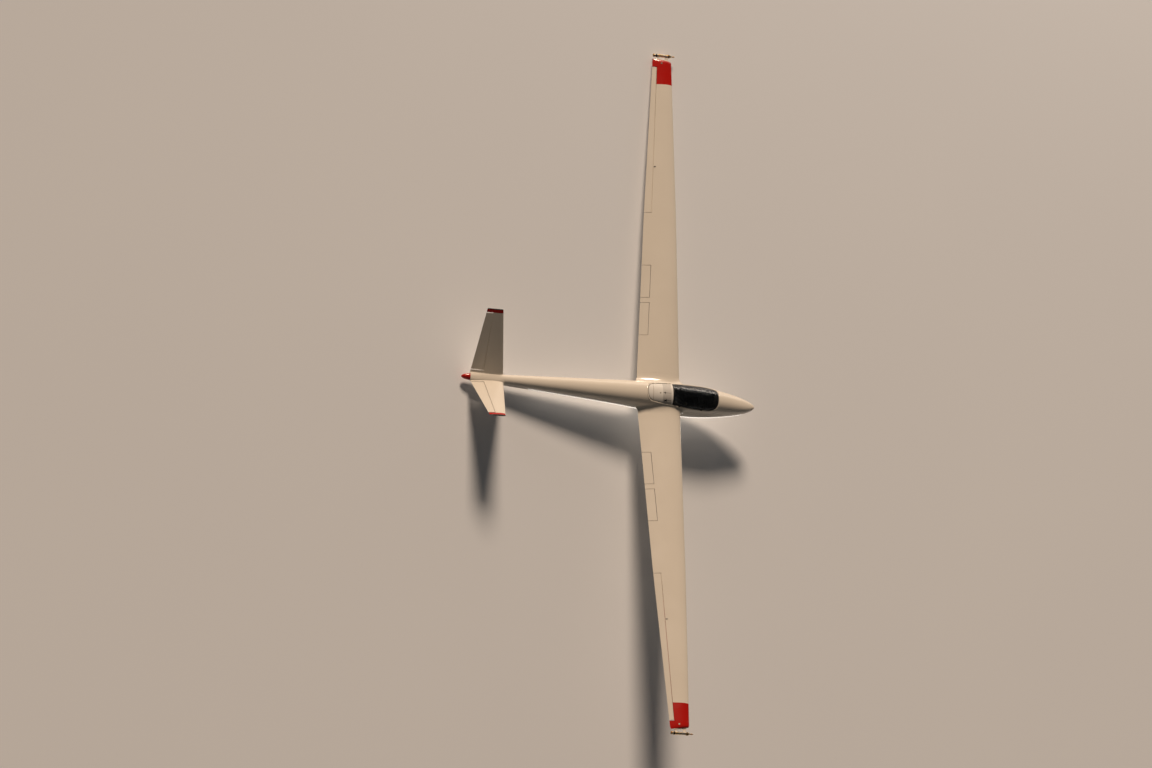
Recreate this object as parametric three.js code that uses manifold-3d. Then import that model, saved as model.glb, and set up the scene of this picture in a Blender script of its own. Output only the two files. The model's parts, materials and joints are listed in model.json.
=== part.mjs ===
// A single-seat aerobatic sailplane of glass fibre, with a V-tail, trailing edge airbrakes and a
// smoke tube on each wing tip. It is parked on its main wheel, tail skid and left wing tip skid.
// Millimetres. The aircraft is modelled level: +X to the nose, +Y to the left wing, +Z up, with
// its origin on the centre plane, 12 mm behind the wing root's leading edge. Then it is set on the
// ground, with the origin on the ground under the middle of the parked aircraft's box.
import * as THREE from "three";
import { mergeVertices } from "three/addons/utils/BufferGeometryUtils.js";
import Module from "manifold-3d";

const wasm = await Module();
wasm.setup();

// Driving dimensions

const SEAT_GAP = 0.3; // between pieces that touch
const EDGE_TOLERANCE = 0.05; // edges and steps smaller than this are smoothed away
const MOVING_GAP = 6; // round a moving piece
const END_GAP = 9; // past each end of a moving surface
const PIVOT_RADIUS = 4; // pins at the ends of a moving surface
const PIVOT_REACH = [24, 16]; // into the surface and into what carries it
const SKIN = 10; // fuselage sandwich shell

const LEFT = 1;
const RIGHT = -1;
const SIDES = [
  ["left", LEFT],
  ["right", RIGHT],
];

// Fuselage sections, nose to tail. Columns: x, half width, top, bottom.
const HULL = [
  [1542, 2, -203, -207],
  [1536, 20, -188, -222],
  [1520, 40, -172, -238],
  [1490, 64, -155, -258],
  [1450, 88, -137, -279],
  [1399, 113, -117, -302],
  [1277, 156, -70, -348],
  [1158, 186, -29, -386],
  [1037, 210, 12, -420],
  [913, 231, 52, -450],
  [794, 248, 87, -474],
  [682, 261, 116, -492],
  [561, 272, 141, -505],
  [438, 281, 160, -514],
  [189, 289, 184, -521],
  [0, 290, 194, -515],
  [-300, 287, 203, -465],
  [-700, 268, 209, -345],
  [-1078, 244, 212, -252],
  [-1400, 224, 212, -208],
  [-1774, 201, 211, -168],
  [-2576, 155, 208, -89],
  [-3376, 107.5, 203, -10],
  [-4168, 61, 196, 66],
];
const HULL_ROUNDNESS = 2.2; // exponent of the section's superellipse
const HULL_POINTS = 28;
const NOSE_TIP = 1542;
const HULL_END = -4168;

// The wing. Columns: y, leading edge x, chord.
const WING = [
  [0, 12, 860],
  [3600, -22, 643],
  [6785, -91, 371],
];
const WING_THICKNESS = 0.17;
const WING_CAMBER = 0.035;
const CAMBER_PLACE = 0.4;
const DIHEDRAL = THREE.MathUtils.degToRad(3.22);
const WING_DROP = 50; // the wing's root line lies this far under the origin
const RIB_Y = 440; // joint between the fuselage's stub and the wing
const TIP_CAP_Y = 6650;
const TIP_Y = 6770;
const TIP_RAKE = 44; // the tip's trailing corner lies this far outboard of its leading edge
const SECTION_STEPS = 12; // points on each surface of a wing section

// Fillet of the wing stub on the fuselage
const FILLET_SIDE = 60;
const FILLET_FRONT = 150;
const FILLET_REAR = 98;
const FILLET_UNDER_SILL = 6; // the fillet ends this far under the cockpit's edge
const FILLET_STEPS = 5;

// Aileron: a share of the chord, between two ribs
const AILERON_SHARE = 0.2;
const AILERON_Y = [3665, 6640];
// Trailing edge airbrakes: each turns about its own middle
const BRAKE_DEPTH = 170;
const BRAKE_Y = [
  [1190, 1850],
  [1945, 2605],
];

// V-tail: leading edge points of root and tip, and the chords there
const TAIL_ROOT = new THREE.Vector3(-3520, 80, 160);
const TAIL_TIP = new THREE.Vector3(-3718, 1066, 964);
const TAIL_CHORDS = [652, 311];
const TAIL_THICKNESS = 0.1;
const TAIL_RIB = 0.035; // share of the panel's span at the root joint
const RUDDERVATOR_SHARE = 0.37;
const RUDDERVATOR_SPAN = [0.05, 0.945];
const TAIL_TIP_CAP = 0.95;
// Saddle that carries the tail panels on the hull. Columns: x, half width, top, bottom.
const SADDLE = [
  [-3380, 62, 186, 120],
  [-3520, 96, 200, 104],
  [-3700, 108, 203, 100],
  [-3930, 104, 202, 102],
  [-4168, 95, 199, 108],
];

// Cockpit opening: its outline seen from the side, and the split behind the pilot's head
const OPENING_REAR = -690;
const OPENING_FRONT = 757;
const SILL_REAR = new THREE.Vector2(-560, 152);
const SILL_FRONT = new THREE.Vector2(520, 10);
const SPLIT_X = -178;
const CANOPY_BAND = 24; // width of the frame round the glass
const CANOPY_FRAME = 18; // depth of the frame
const CANOPY_GLASS = 5;
const HATCH_SKIN = 8;
const COCKPIT_FRONT = 1430;
const BULKHEAD = [-200, -170]; // frame between cockpit and equipment bay
const BAY_FLOOR = [-26, -20];
const PIN_RADIUS = 5;
const PIN_OUTSIDE = 4; // the hinge pins lie this far outside the skin
const CANOPY_HINGE_X = [-60, 430];
const HATCH_HINGE_X = [-540, -240];
const LUG_LENGTH = 40;
const LUG_RADIUS = 9;
const LUG_STRAP = [5, 24]; // thickness and height of the strap that holds a lug

// Cockpit furniture
const COCKPIT_FLOOR = [-452, -444];
const SEAT_SHELL = 8;
const SEAT_FRONT = new THREE.Vector2(500, -305);
const SEAT_LOW = new THREE.Vector2(150, -345);
const SEAT_TOP = new THREE.Vector2(-128, -10);
const CUSHION_HALF_WIDTH = 175;
const CUSHION = 35;
const PEDESTAL_X = [690, 790];
const PANEL_HALF_WIDTH = 135;
const PANEL_Z = [-110, 75];
const STICK_FOOT = new THREE.Vector3(600, 0, -434);
const STICK_TOP = new THREE.Vector3(530, 0, -120);
const PEDAL_X = 1150;
const PEDAL_Y = 85;

// Main wheel, semi-recessed in the belly
const WHEEL = new THREE.Vector3(-120, 0, -500);
const TYRE_RADIUS = 150;
const TYRE_WIDTH = 100;
const TYRE_CROWN = 58; // radius of the rounded tread
const RIM_RADIUS = 62;
const RIM_WIDTH = 80;
const AXLE_RADIUS = 12;
const WELL_HALF_LENGTH = 182;
const WELL_HALF_WIDTH = 82;
const WELL_TOP = -328;
const WELL_WALL = 6;
const LEG_Y = [58, 68];
const HOOK_X = 190;

// Tail skid
const SKID_X = -3790;
const SKID_BOTTOM = -62;
const SKID_HALF_WIDTH = 22;

// Wing tip skids and smoke tubes
const TIP_SKID_Y = 6682;
const TIP_SKID_X = -270;
const TIP_SKID_BOTTOM = 206;
const TIP_SKID_RADIUS = 16;
const SMOKE = new THREE.Vector3(-447, 6888, 324); // middle of the tube's rear end
const SMOKE_RADIUS = 30;
// The tube's profile from the rear. Columns: distance forward, radius.
const SMOKE_PROFILE = [
  [0, 24],
  [0, 30],
  [52, 30],
  [52, 33],
  [74, 33],
  [74, 30],
  [300, 30],
  [300, 33],
  [322, 33],
  [322, 30],
  [336, 30],
  [366, 16],
  [424, 9],
  [434, 5],
];

const paint = (color, roughness, metalness = 0) =>
  new THREE.MeshStandardMaterial({ color, roughness, metalness });
const WHITE = paint(0xe8e0d2, 0.2);
const RED = paint(0xb5150c, 0.25);
const DARK = paint(0x17181a, 0.6);
const FABRIC = paint(0x2b2e33, 0.9);
const GREY = paint(0x8b8d8c, 0.5);
const RUBBER = paint(0x1c1c1c, 0.85);
const STEEL = paint(0x9a8f82, 0.35, 1);
const GLASS = new THREE.MeshStandardMaterial({
  color: 0x3a4046,
  roughness: 0.05,
  transparent: true,
  opacity: 0.35,
});

// Joining, cutting and lofting

// A closed geometry as a solid that can be joined and cut, its faces turned out.
function solid(geometry) {
  const bare = new THREE.BufferGeometry();
  const source = geometry.index ? geometry.toNonIndexed() : geometry;
  bare.setAttribute("position", source.getAttribute("position"));
  const merged = mergeVertices(bare, 1e-3);
  const place = merged.attributes.position;
  const points = Array.from({ length: place.count }, (_, i) =>
    new THREE.Vector3().fromBufferAttribute(place, i),
  );
  const index = Array.from(merged.index.array);
  if (signedVolume(points, index) < 0) index.reverse();
  return new wasm.Manifold(
    new wasm.Mesh({
      numProp: 3,
      vertProperties: place.array,
      triVerts: new Uint32Array(index),
    }),
  );
}

// A solid back as a flat-shaded geometry.
function geometryOf(made) {
  const mesh = made.simplify(EDGE_TOLERANCE).getMesh();
  const geometry = new THREE.BufferGeometry();
  geometry.setAttribute("position", new THREE.BufferAttribute(mesh.vertProperties, 3));
  geometry.setIndex(new THREE.BufferAttribute(mesh.triVerts, 1));
  const flat = geometry.toNonIndexed();
  flat.computeVertexNormals();
  return flat;
}

// Six times the volume inside a list of triangles.
function signedVolume(points, index) {
  let sum = 0;
  for (let i = 0; i < index.length; i += 3) {
    const [a, b, c] = [points[index[i]], points[index[i + 1]], points[index[i + 2]]];
    sum += a.dot(b.clone().cross(c));
  }
  return sum;
}

// A closed skin through rings of points that run the same way round, with flat ends.
function loft(rings) {
  const count = rings[0].length;
  const points = rings.flat();
  const index = [];
  const quad = (a, b, c, d) => index.push(a, b, c, a, c, d);
  for (let r = 0; r < rings.length - 1; r++) {
    for (let i = 0; i < count; i++) {
      const [a, b] = [r * count + i, r * count + ((i + 1) % count)];
      quad(a, b, b + count, a + count);
    }
  }
  const cap = (start, flip) => {
    for (let i = 0, k = count - 1; i < k; i++, k--) {
      const across = k - i > 2 ? [i, i + 1, k - 1, k] : [i, i + 1, k];
      if (k - i === 1) break;
      if (flip) across.reverse();
      const [a, b, c, d] = across.map((n) => n + start);
      if (across.length === 4) quad(a, b, c, d);
      else index.push(a, b, c);
    }
  };
  cap(0, true);
  cap((rings.length - 1) * count, false);
  if (signedVolume(points, index) < 0) index.reverse();
  const geometry = new THREE.BufferGeometry().setFromPoints(points);
  geometry.setIndex(index);
  return geometry;
}

// A box between two corners.
function block(low, high) {
  const size = high.map((v, i) => v - low[i]);
  const made = new THREE.BoxGeometry(...size);
  return made.translate(...low.map((v, i) => v + size[i] / 2));
}

// A rod between two points.
function rod(from, to, radius, sides = 16) {
  const length = from.distanceTo(to);
  const made = new THREE.CylinderGeometry(radius, radius, length, sides);
  const turn = new THREE.Quaternion().setFromUnitVectors(
    new THREE.Vector3(0, 1, 0),
    to.clone().sub(from).normalize(),
  );
  const middle = from.clone().add(to).multiplyScalar(0.5);
  return made.applyQuaternion(turn).translate(...middle.toArray());
}

// A flat outline in the side view, given as [x, z] points or a shape, as thick as from y0 to y1.
function sidePlate(outline, y0, y1) {
  const shape = Array.isArray(outline)
    ? new THREE.Shape(outline.map(([x, z]) => new THREE.Vector2(x, z)))
    : outline;
  const made = new THREE.ExtrudeGeometry(shape, {
    depth: y1 - y0,
    bevelEnabled: false,
    curveSegments: 10,
  });
  return made.rotateX(Math.PI / 2).translate(0, y1, 0);
}

const join = (...pieces) => pieces.reduce((a, b) => a.add(b));
const cut = (whole, ...pieces) => pieces.reduce((a, b) => a.subtract(b), whole);

const aircraft = new THREE.Group();

// Adds one named piece to the aircraft.
function piece(name, shape, material, parent = aircraft) {
  const geometry = shape.isBufferGeometry ? shape : geometryOf(shape);
  const mesh = new THREE.Mesh(geometry, material);
  mesh.name = name;
  parent.add(mesh);
  return mesh;
}

// Fuselage

// The value of a column of the hull table at x, as a smooth curve through the sections.
function hullAt(x, column) {
  const rows = HULL;
  let i = rows.findIndex((row, n) => n > 0 && x >= row[0]) - 1;
  if (i < 0) i = x > rows[0][0] ? 0 : rows.length - 2;
  const slope = (n) => {
    const [a, b] = [rows[Math.max(n - 1, 0)], rows[Math.min(n + 1, rows.length - 1)]];
    return (b[column] - a[column]) / (b[0] - a[0]);
  };
  const [from, to] = [rows[i], rows[i + 1]];
  const span = to[0] - from[0];
  const t = THREE.MathUtils.clamp((x - from[0]) / span, 0, 1);
  const rise = (t * t * (3 - 2 * t)) * (to[column] - from[column]);
  const bend = t * (1 - t) * (1 - t) * slope(i) - t * t * (1 - t) * slope(i + 1);
  return from[column] + rise + bend * span;
}

// One closed section of the hull, inset by a wall's thickness.
function hullRing(x, inset = 0, points = HULL_POINTS) {
  const [half, top, bottom] = [1, 2, 3].map((column) => hullAt(x, column));
  const middle = (top + bottom) / 2;
  const [wide, tall] = [half - inset, (top - bottom) / 2 - inset];
  const round = (v) => Math.sign(v) * Math.abs(v) ** (2 / HULL_ROUNDNESS);
  return Array.from({ length: points }, (_, i) => {
    const angle = ((i + 0.5) / points) * 2 * Math.PI - Math.PI / 2;
    const y = wide * round(Math.cos(angle));
    return new THREE.Vector3(x, y, middle + tall * round(Math.sin(angle)));
  });
}

// The hull's half width at a point of the side view.
function hullSide(x, z, inset = 0) {
  const [half, top, bottom] = [1, 2, 3].map((column) => hullAt(x, column));
  const level = (z - (top + bottom) / 2) / ((top - bottom) / 2 - inset);
  const share = Math.max(1 - Math.abs(level) ** HULL_ROUNDNESS, 0);
  return (half - inset) * share ** (1 / HULL_ROUNDNESS);
}

// The hull between two stations, at the table's sections, inset by a wall's thickness.
function hullLoft(from, to, inset = 0, points = HULL_POINTS) {
  const between = HULL.map((row) => row[0]).filter((x) => x < from - 5 && x > to + 5);
  return solid(loft([from, ...between, to].map((x) => hullRing(x, inset, points))));
}

// Everything above the cockpit opening's edge, drawn in by an inset, as a side view outline.
function openingShape(inset) {
  const [rear, front] = [OPENING_REAR + inset, OPENING_FRONT - inset];
  const high = 400;
  const shape = new THREE.Shape();
  shape.moveTo(rear, high);
  shape.lineTo(rear, 230);
  shape.quadraticCurveTo(rear + 30, 165 + inset, SILL_REAR.x + inset, SILL_REAR.y + inset);
  shape.lineTo(SILL_FRONT.x, SILL_FRONT.y + inset);
  shape.bezierCurveTo(front - 97, -5 + inset, front - 7, 35 + inset, front, 130);
  shape.lineTo(front, high);
  return shape;
}

const sillAt = (x) => {
  const slope = (SILL_FRONT.y - SILL_REAR.y) / (SILL_FRONT.x - SILL_REAR.x);
  return SILL_REAR.y + (x - SILL_REAR.x) * slope;
};
const openingPrism = (inset) => solid(sidePlate(openingShape(inset), -420, 420));
const ahead = (x) => solid(block([x, -500, -700], [NOSE_TIP + 100, 500, 500]));
const behind = (x) => solid(block([HULL_END - 300, -500, -700], [x, 500, 500]));

// Wing

// Leading edge, chord and height of the wing at a distance from the centre plane.
function wingAt(y) {
  const i = y < WING[1][0] ? 0 : 1;
  const [from, to] = [WING[i], WING[i + 1]];
  const t = (y - from[0]) / (to[0] - from[0]);
  const [edge, chord] = [1, 2].map((n) => from[n] + t * (to[n] - from[n]));
  return { edge, chord, height: y * Math.tan(DIHEDRAL) - WING_DROP };
}

const halfThickness = (s, thickness) =>
  5 *
  thickness *
  (0.2969 * Math.sqrt(s) - 0.126 * s - 0.3516 * s ** 2 + 0.2843 * s ** 3 - 0.1015 * s ** 4);

function camberLine(s, camber) {
  const p = CAMBER_PLACE;
  if (s < p) return (camber / p ** 2) * (2 * p * s - s * s);
  return (camber / (1 - p) ** 2) * (1 - 2 * p + 2 * p * s - s * s);
}

// A wing section of chord one: [share of chord aft, height], over the top to the nose and back.
function sectionOutline(thickness, camber, steps = SECTION_STEPS) {
  const share = (k) => (1 - Math.cos((Math.PI * k) / steps)) / 2;
  const at = (k, sign) => {
    const s = share(k);
    return [s, camberLine(s, camber) + sign * halfThickness(s, thickness)];
  };
  const over = Array.from({ length: steps + 1 }, (_, k) => at(steps - k, 1));
  const under = Array.from({ length: steps }, (_, k) => at(k + 1, -1));
  return [...over, ...under];
}

const WING_OUTLINE = sectionOutline(WING_THICKNESS, WING_CAMBER);

function wingRing(side, y) {
  const { edge, chord, height } = wingAt(y);
  return WING_OUTLINE.map(
    ([s, h]) => new THREE.Vector3(edge - s * chord, side * y, height + h * chord),
  );
}

// The stub that carries the wing: a rib's outline that flares into the hull's side. Each line
// leaves the wing's skin, bends at the corner and lands on the hull, as a quadratic curve.
function wingStub(side) {
  const rib = wingRing(LEFT, RIB_Y);
  const lines = rib.map((point, i) => {
    const [before, after] = [rib[Math.max(i - 1, 0)], rib[Math.min(i + 1, rib.length - 1)]];
    const along = after.clone().sub(before);
    const out = new THREE.Vector2(-along.z, along.x).normalize();
    if (i === 0 || i === rib.length - 1) out.set(-0.94, i === 0 ? 0.34 : -0.34);
    const ends = out.x > 0 ? FILLET_FRONT : FILLET_REAR;
    const reach = THREE.MathUtils.lerp(FILLET_SIDE, ends, Math.abs(out.x) ** 2);
    const inward = RIB_Y * Math.tan(DIHEDRAL) * 0.4;
    const corner = new THREE.Vector3(point.x, 0, point.z - inward);
    corner.y = hullSide(corner.x, corner.z);
    const landing = new THREE.Vector3(corner.x + out.x * reach, 0, corner.z + out.y * reach);
    landing.z = Math.min(landing.z, sillAt(landing.x) - FILLET_UNDER_SILL);
    landing.y = hullSide(landing.x, landing.z) - 2;
    const start = point.clone().lerp(corner, 0.25);
    return new THREE.QuadraticBezierCurve3(start, corner, landing);
  });
  const rings = [rib];
  for (let k = 0; k <= FILLET_STEPS; k++) {
    rings.push(lines.map((line) => line.getPoint(k / FILLET_STEPS)));
  }
  rings.forEach((ring) => ring.forEach((p) => (p.y *= side)));
  return solid(loft(rings));
}

// The space of a hinged surface: round in front of its hinge line, and open behind it.
// A hinge is {inner, outer, radii, reach}, with its two ends on the hinge line.
function hingedSpace(hinge, grow, shorten) {
  const along = hinge.outer.clone().sub(hinge.inner).normalize();
  const aft = new THREE.Vector3(-1, 0, 0).addScaledVector(along, along.x).normalize();
  const up = new THREE.Vector3().crossVectors(aft, along).normalize();
  const ends = [
    [hinge.inner, hinge.radii[0], shorten],
    [hinge.outer, hinge.radii[1], -shorten],
  ];
  const rings = ends.map(([end, radius, move]) => {
    const centre = end.clone().addScaledVector(along, move);
    const r = radius + grow;
    const arc = Array.from({ length: 13 }, (_, k) => (k / 12) * Math.PI + Math.PI / 2);
    const profile = arc.map((angle) => [r * Math.cos(angle), r * Math.sin(angle)]);
    profile.push([hinge.reach, -r], [hinge.reach, r]);
    return profile.map(([a, u]) => centre.clone().addScaledVector(aft, a).addScaledVector(up, u));
  });
  return solid(loft(rings));
}

// The pins at both ends of a hinge line, grown by a gap.
function pivots(hinge, grow = 0) {
  const along = hinge.outer.clone().sub(hinge.inner).normalize();
  const pin = (end, inward) => {
    const from = end.clone().addScaledVector(along, inward * PIVOT_REACH[0]);
    const to = end.clone().addScaledVector(along, -inward * PIVOT_REACH[1]);
    return solid(rod(from, to, PIVOT_RADIUS + grow, 10));
  };
  return join(pin(hinge.inner, 1), pin(hinge.outer, -1));
}

// The moving surface with its pins, and what is left of the whole panel round it.
function hingedPair(whole, hinge, open = hinge) {
  const moving = whole.intersect(hingedSpace(hinge, 0, END_GAP)).add(pivots(hinge));
  const rest = cut(whole, hingedSpace(open, MOVING_GAP, 0), pivots(hinge, SEAT_GAP));
  return { moving, rest };
}

// A hinge whose room is open past its outer end.
function openEnded(hinge) {
  const outer = hinge.inner.clone().lerp(hinge.outer, 1.1);
  return { ...hinge, outer };
}

// A point of the wing's camber line, at a distance forward of the trailing edge.
function wingPoint(side, y, fromRear) {
  const { edge, chord, height } = wingAt(y);
  const s = 1 - fromRear / chord;
  const z = height + camberLine(s, WING_CAMBER) * chord;
  return new THREE.Vector3(edge - s * chord, side * y, z);
}

function aileronHinge(side) {
  const ends = AILERON_Y.map((y) => wingPoint(side, y, AILERON_SHARE * wingAt(y).chord));
  const half = halfThickness(1 - AILERON_SHARE, WING_THICKNESS);
  const radii = AILERON_Y.map((y) => half * wingAt(y).chord + 0.5);
  return { inner: ends[0], outer: ends[1], radii, reach: 200 };
}

function brakeHinge(side, [from, to]) {
  const [inner, outer] = [from, to].map((y) => wingPoint(side, y, BRAKE_DEPTH / 2));
  return { inner, outer, radii: [BRAKE_DEPTH / 2, BRAKE_DEPTH / 2], reach: 140 };
}

// V-tail

const TAIL_OUTLINE = sectionOutline(TAIL_THICKNESS, 0);

// Leading edge point and chord at a share of the tail panel's span.
function tailAt(side, share) {
  const edge = TAIL_ROOT.clone().lerp(TAIL_TIP, share);
  edge.y *= side;
  return { edge, chord: THREE.MathUtils.lerp(...TAIL_CHORDS, share) };
}

function tailUp(side) {
  const span = TAIL_TIP.clone().sub(TAIL_ROOT).setX(0).normalize();
  return new THREE.Vector3(0, -side * span.z, span.y);
}

function tailRing(side, share, grow = 1) {
  const { edge, chord } = tailAt(side, share);
  const up = tailUp(side);
  return TAIL_OUTLINE.map(([s, h]) => {
    const centred = (s - 0.5) * grow + 0.5;
    const aft = new THREE.Vector3(-centred * chord, 0, 0);
    return edge.clone().add(aft).addScaledVector(up, h * chord * grow);
  });
}

function tailHinge(side) {
  const at = (share) => {
    const { edge, chord } = tailAt(side, share);
    return edge.add(new THREE.Vector3(-(1 - RUDDERVATOR_SHARE) * chord, 0, 0));
  };
  const half = halfThickness(1 - RUDDERVATOR_SHARE, TAIL_THICKNESS);
  const radii = RUDDERVATOR_SPAN.map((share) => half * tailAt(side, share).chord + 0.5);
  const [inner, outer] = RUDDERVATOR_SPAN.map(at);
  return { inner, outer, radii, reach: 330 };
}

// Keeps a moving piece's hinge line with it.
function hinged(mesh, hinge) {
  mesh.userData.hinge = [hinge.inner, hinge.outer];
  return mesh;
}

// Hinges of the canopy and the hatch

// The middle line of a lid's hinge pin, between two stations.
function pinLine(side, [rear, front]) {
  const [inner, outer] = [rear, front].map((x) => {
    const z = sillAt(x) - 2;
    return new THREE.Vector3(x, side * (hullSide(x, z) + PIN_OUTSIDE), z);
  });
  return { inner, outer };
}

// A lid's hinge: its pin, the lugs of both parts with straps that lie on the skin, and the room
// that each part leaves for the other's lugs.
function lidHinge(side, stations) {
  const line = pinLine(side, stations);
  const along = line.outer.clone().sub(line.inner).normalize();
  const at = (from, distance) => from.clone().addScaledVector(along, distance);
  const reach = LUG_LENGTH * 2;
  const pinRoom = solid(rod(at(line.inner, -reach), at(line.outer, reach), PIN_RADIUS + SEAT_GAP, 12));
  const [thick, high] = LUG_STRAP;
  const overSkin = hullLoft(OPENING_FRONT, OPENING_REAR, -thick).subtract(hullLoft(NOSE_TIP, -1200, 1));
  const lug = (from, distance, up) => {
    const [a, b] = [at(from, distance), at(from, distance + LUG_LENGTH - 2)];
    const [low, top] = up > 0 ? [a.z + 3, b.z + high] : [a.z - high, b.z - 3];
    const [near, far] = [side * 100, side * 400].sort((p, q) => p - q);
    const strap = overSkin.intersect(solid(block([a.x, near, low], [b.x, far, top])));
    return solid(rod(a, b, LUG_RADIUS, 12)).add(strap).subtract(pinRoom);
  };
  const room = (from, distance) => {
    const [a, b] = [at(from, distance - 4), at(from, distance + LUG_LENGTH + 2)];
    return solid(rod(a, b, LUG_RADIUS + 2, 12));
  };
  const fixed = [
    [line.inner, -LUG_LENGTH],
    [line.outer, 2],
  ];
  const moving = [
    [line.inner, 2],
    [line.outer, -LUG_LENGTH],
  ];
  return {
    ...line,
    pin: rod(at(line.inner, -LUG_LENGTH), at(line.outer, LUG_LENGTH), PIN_RADIUS, 12),
    fixed: join(...fixed.map(([from, distance]) => lug(from, distance, -1))),
    moving: join(...moving.map(([from, distance]) => lug(from, distance, 1))),
    fixedRoom: join(pinRoom, ...fixed.map((row) => room(...row))),
    movingRoom: join(pinRoom, ...moving.map((row) => room(...row))),
  };
}

const canopyHinge = lidHinge(RIGHT, CANOPY_HINGE_X);
const hatchHinge = lidHinge(LEFT, HATCH_HINGE_X);

// A section of the saddle under the tail panels.
function saddleRing([x, half, top, bottom]) {
  const [middle, tall] = [(top + bottom) / 2, (top - bottom) / 2];
  return Array.from({ length: HULL_POINTS }, (_, i) => {
    const angle = ((i + 0.5) / HULL_POINTS) * 2 * Math.PI;
    return new THREE.Vector3(x, half * Math.cos(angle), middle + tall * Math.sin(angle));
  });
}

// The fuselage shell with its wing and tail stubs, cockpit and equipment bay.
function makeFuselage() {
  const skin = hullLoft(NOSE_TIP, HULL_END);
  const stubs = SIDES.map(([, side]) => wingStub(side));
  const saddle = solid(loft(SADDLE.map(saddleRing)));
  const roots = [
    [-0.05, 1.06],
    [0, 1.06],
    [0.015, 1.02],
    [TAIL_RIB, 1],
  ];
  const tailStubs = SIDES.map(([, side]) =>
    solid(loft(roots.map(([share, grow]) => tailRing(side, share, grow)))),
  );
  const tailSpaces = SIDES.map(([, side]) => {
    const hinge = tailHinge(side);
    hinge.outer.sub(hinge.inner).multiplyScalar(0.3).add(hinge.inner);
    return hingedSpace(hinge, MOVING_GAP, 0);
  });
  const cockpit = hullLoft(COCKPIT_FRONT, BULKHEAD[1], SKIN, 24);
  const bay = hullLoft(BULKHEAD[0], HULL_END + 60, SKIN, 24);
  const well = solid(
    block(
      [WHEEL.x - WELL_HALF_LENGTH, -WELL_HALF_WIDTH, -700],
      [WHEEL.x + WELL_HALF_LENGTH, WELL_HALF_WIDTH, WELL_TOP],
    ),
  );
  const body = join(skin, saddle, ...stubs, ...tailStubs).intersect(ahead(HULL_END));
  const rooms = [canopyHinge, hatchHinge].map((hinge) => hinge.movingRoom);
  const shell = cut(body, ...tailSpaces, cockpit, bay, openingPrism(0), well, ...rooms);
  return join(shell, canopyHinge.fixed, hatchHinge.fixed);
}

piece("fuselage", makeFuselage(), WHITE);

const floor = block([520, -400, COCKPIT_FLOOR[0]], [1260, 400, COCKPIT_FLOOR[1]]);
piece("cockpit_floor", hullLoft(1300, 400, SKIN + SEAT_GAP, 24).intersect(solid(floor)), GREY);
// A layer of the bay's floor, a gap from the hull's inner wall.
function floorLayer(gap, low, high) {
  const layer = block([OPENING_REAR - 60, -400, low], [BULKHEAD[0] - SEAT_GAP, 400, high]);
  return hullLoft(-150, -900, SKIN + gap, 24).intersect(solid(layer));
}
const bayFloor = join(
  floorLayer(SEAT_GAP, BAY_FLOOR[0], BAY_FLOOR[0] + 3),
  floorLayer(SEAT_GAP + 5, BAY_FLOOR[0] + 2, BAY_FLOOR[1]),
);
piece("bay_floor", bayFloor, GREY);

// Wings with their moving surfaces, tips and smoke tubes

for (const [name, side] of SIDES) {
  const whole = solid(loft([RIB_Y + SEAT_GAP, 3600, TIP_CAP_Y].map((y) => wingRing(side, y))));
  const hinge = aileronHinge(side);
  const aileron = hingedPair(whole, hinge, openEnded(hinge));
  hinged(piece(`aileron_${name}`, aileron.moving, WHITE), hinge);
  let wing = aileron.rest;
  ["inner", "outer"].forEach((place, i) => {
    const line = brakeHinge(side, BRAKE_Y[i]);
    const brake = hingedPair(wing, line);
    hinged(piece(`airbrake_${name}_${place}`, brake.moving, WHITE), line);
    wing = brake.rest;
  });
  piece(`wing_${name}`, wing, WHITE);
}

// A ring of the tip cap, drawn in about the middle of its chord.
function capRing(side, y, chordShare, thicknessShare) {
  const middle = (ring, key) => ring.reduce((sum, p) => sum + p[key], 0) / ring.length;
  const ring = wingRing(side, y);
  const [x, z] = [middle(ring, "x"), middle(ring, "z")];
  const outward = (y - TIP_CAP_Y) / (TIP_Y - TIP_CAP_Y);
  const { edge, chord } = wingAt(y);
  ring.forEach((p) => {
    p.y += side * outward * TIP_RAKE * Math.max((edge - p.x) / chord, 0);
    p.x = x + (p.x - x) * chordShare;
    p.z = z + (p.z - z) * thicknessShare;
  });
  return ring;
}

// The red cap on a wing's end.
function tipCap(side) {
  const rings = [
    [TIP_CAP_Y + SEAT_GAP, 1, 1],
    [TIP_Y - 65, 1, 1],
    [TIP_Y - 25, 0.98, 0.93],
    [TIP_Y - 6, 0.95, 0.75],
    [TIP_Y, 0.9, 0.5],
  ];
  return solid(loft(rings.map((row) => capRing(side, ...row))));
}

for (const [name, side] of SIDES) {
  const cap = tipCap(side);
  const skid = sidePlate(skidShape(TIP_SKID_X, TIP_SKID_BOTTOM, TIP_SKID_RADIUS, 120, 130), -14, 14);
  skid.translate(0, side * TIP_SKID_Y, 0);
  piece(`tip_skid_${name}`, solid(skid).subtract(cap.translate([0, 0, -SEAT_GAP])), RUBBER);
  const [first, last] = [SMOKE_PROFILE[0][0], SMOKE_PROFILE[SMOKE_PROFILE.length - 1][0]];
  const profile = [[first, 0], ...SMOKE_PROFILE, [last, 0]];
  const tube = new THREE.LatheGeometry(
    profile.map(([along, r]) => new THREE.Vector2(r, along)),
    18,
  );
  tube.rotateZ(-Math.PI / 2).translate(SMOKE.x, side * SMOKE.y, SMOKE.z);
  piece(`smoke_tube_${name}`, tube, STEEL);
  piece(`smoke_bracket_${name}`, smokeBracket(side), WHITE);
  piece(`wing_tip_${name}`, cap.subtract(pivots(aileronHinge(side), SEAT_GAP)), RED);
}

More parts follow.
